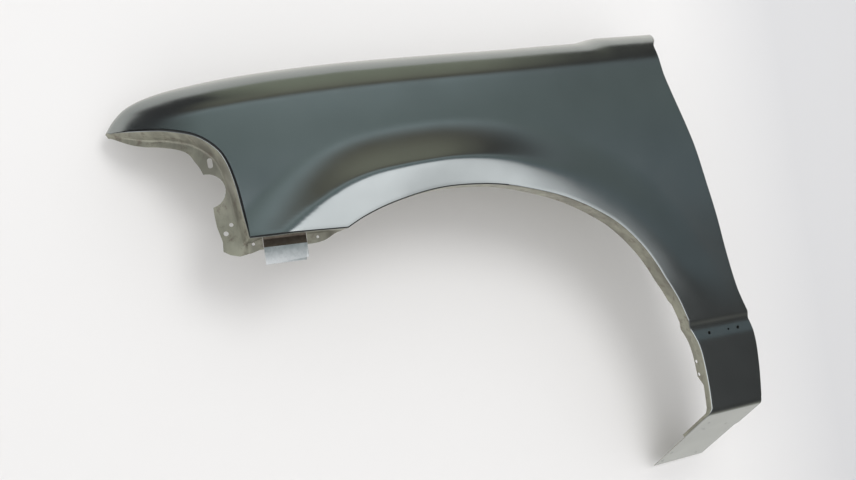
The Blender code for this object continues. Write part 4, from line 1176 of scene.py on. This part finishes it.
# %% The bumper tab
def build_tab():
    """The tab bracket, from its profile."""
    place, width = bracket_frame()
    along, inward, up = (place.col[k].to_3d() for k in range(3))
    out, down = -inward, -up
    behind = inward * (BRACKET_SHEET + SEAT_GAP)
    start = place.translation + up * (SHEET + SEAT_GAP + BRACKET_SHEET) + behind + out * BRACKET_TAB
    turn_at = start + inward * BRACKET_TAB
    lean = (down * BRACKET_UPPER_DROP + out * BRACKET_UPPER_OUT).normalized()
    hang = (down * BRACKET_PLATE_DROP + out * BRACKET_PLATE_OUT).normalized()
    profile = [start, turn_at]
    profile += turned(turn_at, inward, down, BRACKET_RADIUS, TAB_TURN_STEPS)
    profile.append(profile[-1] + down * BRACKET_RADIUS)
    profile += turned(profile[-1], down, lean, BRACKET_RADIUS, TAB_BEND_STEPS)
    profile.append(profile[-1] + lean * BRACKET_UPPER_DROP)
    shade_painted_rows = len(profile) + 2
    profile += turned(profile[-1], lean, hang, BRACKET_RADIUS, TAB_BEND_STEPS)
    profile.append(profile[-1] + hang * BRACKET_PLATE_DROP)
    sheet = Sheet()
    near = [sheet.add(point) for point in profile]
    far = [sheet.add(point + along * width) for point in profile]
    # The upper rows, down into the second bend, get the painted shade; the rest are zinc.
    sheet.band(near[:shade_painted_rows], far[:shade_painted_rows], 1)
    sheet.band(near[shade_painted_rows - 1:], far[shade_painted_rows - 1:], 0)
    shape = bmesh.new()
    shape.from_mesh(sheet.mesh("tab_sheet"))
    lowest = min(vert.co.z for vert in shape.verts)
    corners = [vert for vert in shape.verts if vert.co.z < lowest + PROBE]
    bmesh.ops.bevel(shape, geom=corners, offset=BRACKET_CORNER, segments=TAB_CORNER_STEPS,
                    affect="VERTICES")
    tab = finished(shape, "tab_sheet", bpy.context.scene.collection)
    for finish in (zinc, shaded_zinc):
        tab.data.materials.append(finish)
    solid = tab.modifiers.new("strip thickness", "SOLIDIFY")
    solid.thickness = BRACKET_SHEET
    solid.offset = -1.0
    solid.use_even_offset = True
    edges = tab.modifiers.new("broken edges", "BEVEL")
    edges.width = BRACKET_SHEET * BRACKET_EDGE_SHARE
    edges.segments = 2
    edges.limit_method = "ANGLE"
    edges.angle_limit = BRACKET_EDGE_ANGLE
    made = plain_mesh(tab, "bumper_tab")
    made.data.transform(Matrix.Translation(wheel_centre))
    smooth(made)
    return made, place, width


tab, tab_frame, tab_width = build_tab()
print("tab triangles:", sum(len(face.vertices) - 2 for face in tab.data.polygons))

# %% [markdown]
# The three weld nuts are alike, and so are the spot welds of the tab. Geometry Nodes suit a part that
# repeats. A tree builds one piece from its sizes and sets a copy on each point of a mesh of seats.


# %% Geometry Nodes trees that repeat a piece
def new_tree(name, sizes):
    """A tree with seats and named sizes going in, and the identifiers of the sizes."""
    tree = bpy.data.node_groups.new(name, "GeometryNodeTree")
    tree.interface.new_socket("Seats", in_out="INPUT", socket_type="NodeSocketGeometry")
    ids = {}
    for size in sizes:
        ids[size] = tree.interface.new_socket(size, in_out="INPUT", socket_type="NodeSocketFloat").identifier
    tree.interface.new_socket("Pieces", in_out="OUTPUT", socket_type="NodeSocketGeometry")
    return tree, ids, add(tree, "NodeGroupInput").outputs


def copy_on_seats(tree, given, piece, turn, finish):
    """Sets a copy of a piece on every seat, turned about X, and gives it its finish."""
    copies = add(tree, "GeometryNodeInstanceOnPoints", {"Points": given["Seats"], "Instance": piece,
                                                        "Rotation": (turn, 0.0, 0.0)}).outputs[0]
    real = add(tree, "GeometryNodeRealizeInstances", {"Geometry": copies}).outputs[0]
    painted = add(tree, "GeometryNodeSetMaterial", {"Geometry": real, "Material": finish}).outputs[0]
    add(tree, "NodeGroupOutput", {"Pieces": painted})


# %% [markdown]
# A nut is a hexagon with chamfered corners and a threaded bore. The chamfer is what is left of the
# hexagon inside a blunt cone. The thread is a stack of rings whose radius goes in and out, one pitch
# apart, which is how a thread looks at this scale.


# %% The weld nuts
def nut_body(tree, given):
    """A hexagon whose upper corners are cut by a blunt cone."""
    half = reckon(tree, "MULTIPLY", given["Across corners"], 0.5)
    hexagon = add(tree, "GeometryNodeMeshCylinder", {"Vertices": 6, "Radius": half, "Depth": given["Height"]},
                  fill_type="NGON").outputs["Mesh"]
    cone = add(tree, "GeometryNodeMeshCone", {
        "Vertices": NUT_CHAMFER_SIDES, "Radius Top": reckon(tree, "MULTIPLY", half, NUT_CHAMFER_TOP_SHARE),
        "Radius Bottom": reckon(tree, "MULTIPLY", half, NUT_CHAMFER_FOOT_SHARE), "Depth": given["Height"]},
        fill_type="NGON").outputs["Mesh"]
    drop = reckon(tree, "MULTIPLY", given["Height"], -0.5)
    lowered = add(tree, "ShaderNodeCombineXYZ", {"Z": drop}).outputs[0]
    cone = add(tree, "GeometryNodeTransform", {"Geometry": cone, "Translation": lowered}).outputs[0]
    body = add(tree, "GeometryNodeMeshBoolean", {"Mesh 2": hexagon}, operation="INTERSECT")
    feed(tree, body, {"Mesh 2": cone})
    return body.outputs["Mesh"]


def nut_bore(tree, given):
    """A tube whose rings step in and out by a share of its radius."""
    turns = reckon(tree, "DIVIDE", given["Height"], given["Pitch"])
    tube = add(tree, "GeometryNodeMeshCylinder", {
        "Vertices": NUT_BORE_SIDES, "Radius": given["Bore radius"],
        "Depth": reckon(tree, "MULTIPLY", given["Height"], NUT_BORE_REACH),
        "Side Segments": reckon(tree, "MULTIPLY", turns, NUT_THREAD_RINGS)}, fill_type="NGON").outputs["Mesh"]
    here = add(tree, "GeometryNodeInputPosition").outputs[0]
    height = add(tree, "ShaderNodeSeparateXYZ", {0: here}).outputs["Z"]
    angle = reckon(tree, "MULTIPLY", reckon(tree, "DIVIDE", height, given["Pitch"]), 2.0 * math.pi)
    depth = reckon(tree, "MULTIPLY_ADD", reckon(tree, "SINE", angle), NUT_THREAD_SHARE, 1.0)
    crests = add(tree, "ShaderNodeCombineXYZ", {"X": depth, "Y": depth, "Z": 1.0}).outputs[0]
    threaded = add(tree, "ShaderNodeVectorMath", {0: here, 1: crests}, operation="MULTIPLY").outputs[0]
    return add(tree, "GeometryNodeSetPosition", {"Geometry": tube, "Position": threaded}).outputs[0]


def nut_tree(finish):
    """A nut on every seat, flush on the sloped strip across the leg."""
    tree, ids, given = new_tree("weld_nuts", ("Across corners", "Height", "Bore radius", "Pitch"))
    parts = {"Mesh 1": nut_body(tree, given), "Mesh 2": nut_bore(tree, given)}
    nut = add(tree, "GeometryNodeMeshBoolean", parts, operation="DIFFERENCE").outputs["Mesh"]
    nut = add(tree, "GeometryNodeSetShadeSmooth", {"Geometry": nut, "Shade Smooth": False}).outputs[0]
    copy_on_seats(tree, given, nut, -math.pi / 2.0 - STRIP_SLOPE, finish)
    return tree, ids


# %% [markdown]
# The tab is held by three spot welds. Each leaves a raised rim, 5 mm across. Its tree sweeps a small
# round section round a circle, which makes that rim.


# %% The spot welds
def weld_tree(finish):
    """The rim of a spot weld on every seat."""
    tree, ids, given = new_tree("spot_welds", ("Radius", "Rim height"))
    circle, rim = (add(tree, "GeometryNodeCurvePrimitiveCircle", {"Resolution": sides, "Radius": given[size]},
                       mode="RADIUS").outputs["Curve"]
                   for sides, size in ((WELD_SIDES, "Radius"), (WELD_RIM_SIDES, "Rim height")))
    ring = add(tree, "GeometryNodeCurveToMesh", {"Curve": circle, "Profile Curve": rim}).outputs[0]
    ring = add(tree, "GeometryNodeSetShadeSmooth", {"Geometry": ring, "Shade Smooth": True}).outputs[0]
    copy_on_seats(tree, given, ring, 0.0, finish)
    return tree, ids


def grown(name, points, tree, ids, sizes):
    """Runs a tree on a mesh of points and returns the result as one plain mesh."""
    mesh = bpy.data.meshes.new(name)
    mesh.from_pydata([tuple(point) for point in points], [], [])
    seats = bpy.data.objects.new(f"{name}_seats", mesh)
    bpy.context.scene.collection.objects.link(seats)
    grow = seats.modifiers.new("grow", "NODES")
    grow.node_group = tree
    for label, value in sizes.items():
        grow[ids[label]] = value
    return plain_mesh(seats, name)

# %% Grow the nuts and the welds
off_strip = Vector((0.0, math.cos(STRIP_SLOPE), -math.sin(STRIP_SLOPE)))
lift = off_strip * (SHEET + SEAT_GAP + LEG_SLANT_SHARE * NUT_RADIUS + NUT_HEIGHT / 2.0)
seats = [wheel_centre + skin(x, LEG_HOLE_Z) + lift for x, _ in leg_holes()]
tree, ids = nut_tree(phosphate)
nuts = grown("weld_nuts", seats, tree, ids, {
    "Across corners": 2.0 * NUT_RADIUS, "Height": NUT_HEIGHT,
    "Bore radius": LEG_HOLE_RADIUS * NUT_BORE_SHARE, "Pitch": NUT_HEIGHT / NUT_THREADS})
on_tab = tab_frame.translation + tab_frame.col[2].to_3d() * (SHEET + SEAT_GAP + BRACKET_SHEET)
welds_at = [wheel_centre + on_tab + tab_frame.col[0].to_3d() * (tab_width * share)
            - tab_frame.col[1].to_3d() * (BRACKET_TAB * 0.5) for share in WELD_SHARES]
tree, ids = weld_tree(zinc)
welds = grown("spot_welds", welds_at, tree, ids, {"Radius": WELD_RADIUS, "Rim height": WELD_RIM})
print("nuts and welds:", len(nuts.data.polygons), len(welds.data.polygons), "faces")

# %% [markdown]
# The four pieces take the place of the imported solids. All of them ride on the only body, root.

# %% Hand the pieces to the frame
for piece, slot_name, nodes in (
        (panel, "primer", ["fender_panel"]), (tab, "zinc", ["front_lower_bracket"]),
        (nuts, "phosphate", ["leg_nut_front", "leg_nut_middle", "leg_nut_rear"]), (welds, "zinc", [])):
    if nodes:
        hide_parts(*nodes)
    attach(piece, "root")

# %% [markdown]
# The fender stands in front of a sheet of pale paper that catches its soft shadow. The paper is seen from
# the front only, so the back of the fender can be looked at too. A dark room lies behind the camera: a
# glossy panel shows its surroundings, and without a dark side to mirror it would look like plain grey
# plastic. The room is a screen that only mirror rays see, brighter near the floor, and darker towards the
# rear of the vehicle.

# %% Paper, floor and room
PAPER_BEHIND = 0.074
FLOOR_DROP = 1.350
FLOOR_HALF = 9.0
WALL_HALF = 6.0
WALL_TOP = 5.0
ROOM_RADIUS = 5.0
ROOM_BACK_Y = 1.2
ROOM_TINTS = ((0.05, "#8C9EA2"), (0.30, "#8FA09A"), (0.46, "#C6D7D8"), (0.62, "#64593F"), (0.76, "#A9A88E"),
              (0.98, "#B8BCA0"))


def hide(thing, *rays):
    """Keeps a thing from being met by rays of some kinds."""
    for ray in rays:
        setattr(thing, f"visible_{ray}", False)


def sheet_of(name, corners, finish):
    """A flat four-cornered stage piece."""
    mesh = bpy.data.meshes.new(name)
    mesh.from_pydata(corners, [], [(0, 1, 2, 3)])
    mesh.materials.append(finish)
    made = bpy.data.objects.new(name, mesh)
    bpy.context.scene.collection.objects.link(made)
    return made


def pale_paper(name, one_sided):
    """Matt paper, clear from behind where it is one-sided."""
    made, tree, shader = new_material(name)
    place = add(tree, "ShaderNodeTexCoord").outputs["Object"]
    along = add(tree, "ShaderNodeSeparateXYZ", {0: place}).outputs["X"]
    # Painted shade: the paper greys towards +X, where less light falls.
    tint = blend(tree, span(tree, along, 0.0, 1.0, 0.45, 0.75), linear("#E6E5E4"), linear("#D2D2D3"))
    feed(tree, shader, {"Base Color": tint, "Roughness": 0.9})
    if one_sided:
        behind = add(tree, "ShaderNodeNewGeometry").outputs["Backfacing"]
        clear = add(tree, "ShaderNodeBsdfTransparent").outputs[0]
        out = [node for node in tree.nodes if node.type == "OUTPUT_MATERIAL"][0]
        feed(tree, out, {"Surface": layer(tree, behind, shader.outputs[0], clear)})
    return made


def glow(tree, colour, strength):
    """A shader that gives off light."""
    return add(tree, "ShaderNodeEmission", {"Color": colour, "Strength": strength}).outputs[0]


def room_colour():
    """The room's light by direction: a lit table below, a dim wall, and a warmer ceiling."""
    made = bpy.data.materials.new("dark_room")
    made.use_nodes = True
    tree = made.node_tree
    tree.nodes.clear()
    place = add(tree, "ShaderNodeTexCoord").outputs["Object"]
    unit = add(tree, "ShaderNodeVectorMath", {0: place}, operation="NORMALIZE").outputs[0]
    at = add(tree, "ShaderNodeSeparateXYZ", {0: unit}).outputs
    ramp = add(tree, "ShaderNodeValToRGB", {"Fac": at["Z"]})
    stops = ramp.color_ramp.elements
    for level, tint in ROOM_TINTS:
        stops.new(level).color = linear(tint)
    stops.remove(stops[0])
    stops.remove(stops[len(stops) - 1])
    behind = span(tree, at["Y"], 1.0, 0.03, -0.70, -0.20)
    beside = span(tree, at["X"], 0.0, 1.0, -0.40, -0.10)
    low_right = span(tree, at["X"], 1.0, 0.45, 0.30, 0.95)
    high_right = span(tree, at["X"], 1.0, 0.08, 0.42, 0.55)
    height = span(tree, at["Z"], 0.0, 1.0, 0.28, 0.62)
    right = span(tree, height, low_right, high_right, 0.0, 1.0)
    dim = reckon(tree, "MULTIPLY", reckon(tree, "MAXIMUM", behind, beside), right)
    walls = glow(tree, ramp.outputs["Color"], dim)
    table = glow(tree, linear("#FBFAF8"), span(tree, at["Z"], 0.5, 2.7, -0.66, -0.30))
    near = reckon(tree, "POWER", span(tree, at["Y"], 0.0, 1.0, -0.50, 0.24), 2.5)
    shade = glow(tree, linear("#3C3B36"), span(tree, near, 1.0, 22.0, 0.0, 1.0))
    low = layer(tree, span(tree, at["X"], 1.0, 0.0, 0.42, 0.57), shade, table)
    seen = layer(tree, span(tree, at["Z"], 1.0, 0.0, -0.10, -0.01), walls, low)
    add(tree, "ShaderNodeOutputMaterial", {"Surface": seen})
    return made


def room_screen():
    """Part of a sphere behind the camera, facing the fender."""
    shape = bmesh.new()
    bmesh.ops.create_uvsphere(shape, u_segments=64, v_segments=32, radius=ROOM_RADIUS)
    away = [vert for vert in shape.verts if vert.co.y > ROOM_BACK_Y]
    bmesh.ops.delete(shape, geom=away, context="VERTS")
    bmesh.ops.reverse_faces(shape, faces=shape.faces)
    made = finished(shape, "room_screen", bpy.context.scene.collection)
    made.data.shade_smooth()
    made.data.materials.append(room_colour())
    hide(made, "camera", "diffuse", "transmission", "shadow")
    return made


floor = sheet_of("floor", [(x * FLOOR_HALF, y * FLOOR_HALF, -FLOOR_DROP)
                           for x, y in ((-1, -1), (1, -1), (1, 1), (-1, 1))],
                 pale_paper("matt_floor_paper", False))
hide(floor, "glossy")
paper = sheet_of("backdrop", [(-WALL_HALF, PAPER_BEHIND, -FLOOR_DROP), (WALL_HALF, PAPER_BEHIND, -FLOOR_DROP),
                              (WALL_HALF, PAPER_BEHIND, WALL_TOP), (-WALL_HALF, PAPER_BEHIND, WALL_TOP)],
                 pale_paper("matt_wall_paper", True))
hide(paper, "diffuse", "glossy", "transmission", "shadow")
screen = room_screen()
print("stage:", floor.name, paper.name, screen.name)

# %% [markdown]
# The light is a plain, even world with one large soft lamp above and to the right of the camera. The lamp
# throws the soft shadow to the left of the nose and under the arch.

# %% Light
KEY_AT = Vector((0.2, -3.1, 0.95))
KEY_AIM = Vector((-0.15, 0.0, -0.3))
KEY_SIZE = 1.6
KEY_WATTS = 33.0
world = bpy.data.worlds.new("studio")
bpy.context.scene.world = world
world.use_nodes = True
air = world.node_tree
mirrored = add(air, "ShaderNodeLightPath").outputs["Is Glossy Ray"]
feed(air, air.nodes["Background"], {"Color": blend(air, mirrored, linear("#ECECED"), linear("#FFFDF5")),
                                    "Strength": span(air, mirrored, 1.18, 1.0, 0.0, 1.0)})
key = bpy.data.objects.new("soft_lamp", bpy.data.lights.new("soft_lamp", "AREA"))
bpy.context.scene.collection.objects.link(key)
key.data.shape = "DISK"
key.data.size = KEY_SIZE
key.data.energy = KEY_WATTS
key.location = KEY_AT
key.rotation_euler = (KEY_AIM - KEY_AT).to_track_quat("-Z", "Y").to_euler()
hide(key, "glossy")

# %% [markdown]
# The camera stands where the photograph's did. Its place and turn were found from the arch, which is
# close to a circle, and from the upright leg. It looks along the panel from the front, a little upwards,
# and is tilted.

# %% Camera
FOCAL_PIXELS = 900.0
PICTURE_PIXELS = 856.0
SENSOR_MM = 36.0
CAMERA_AT = Vector((-0.63316, -1.26831, 0.26197))
CAMERA_RIGHT = Vector((0.91164517, -0.386177, -0.1406073))
CAMERA_DOWN = Vector((-0.1099958, 0.10037495, -0.98885074))
CAMERA_AHEAD = Vector((0.39598487, 0.91694721, 0.04902849))
camera = bpy.data.objects.new("camera", bpy.data.cameras.new("camera"))
bpy.context.scene.collection.objects.link(camera)
camera.data.sensor_width = SENSOR_MM
camera.data.lens = FOCAL_PIXELS / PICTURE_PIXELS * SENSOR_MM
camera.matrix_world = Matrix.Translation(wheel_centre + CAMERA_AT) @ Matrix(
    (CAMERA_RIGHT, -CAMERA_DOWN, -CAMERA_AHEAD)).transposed().to_4x4()
bpy.context.scene.camera = camera
bpy.context.scene.view_settings.view_transform = "Standard"
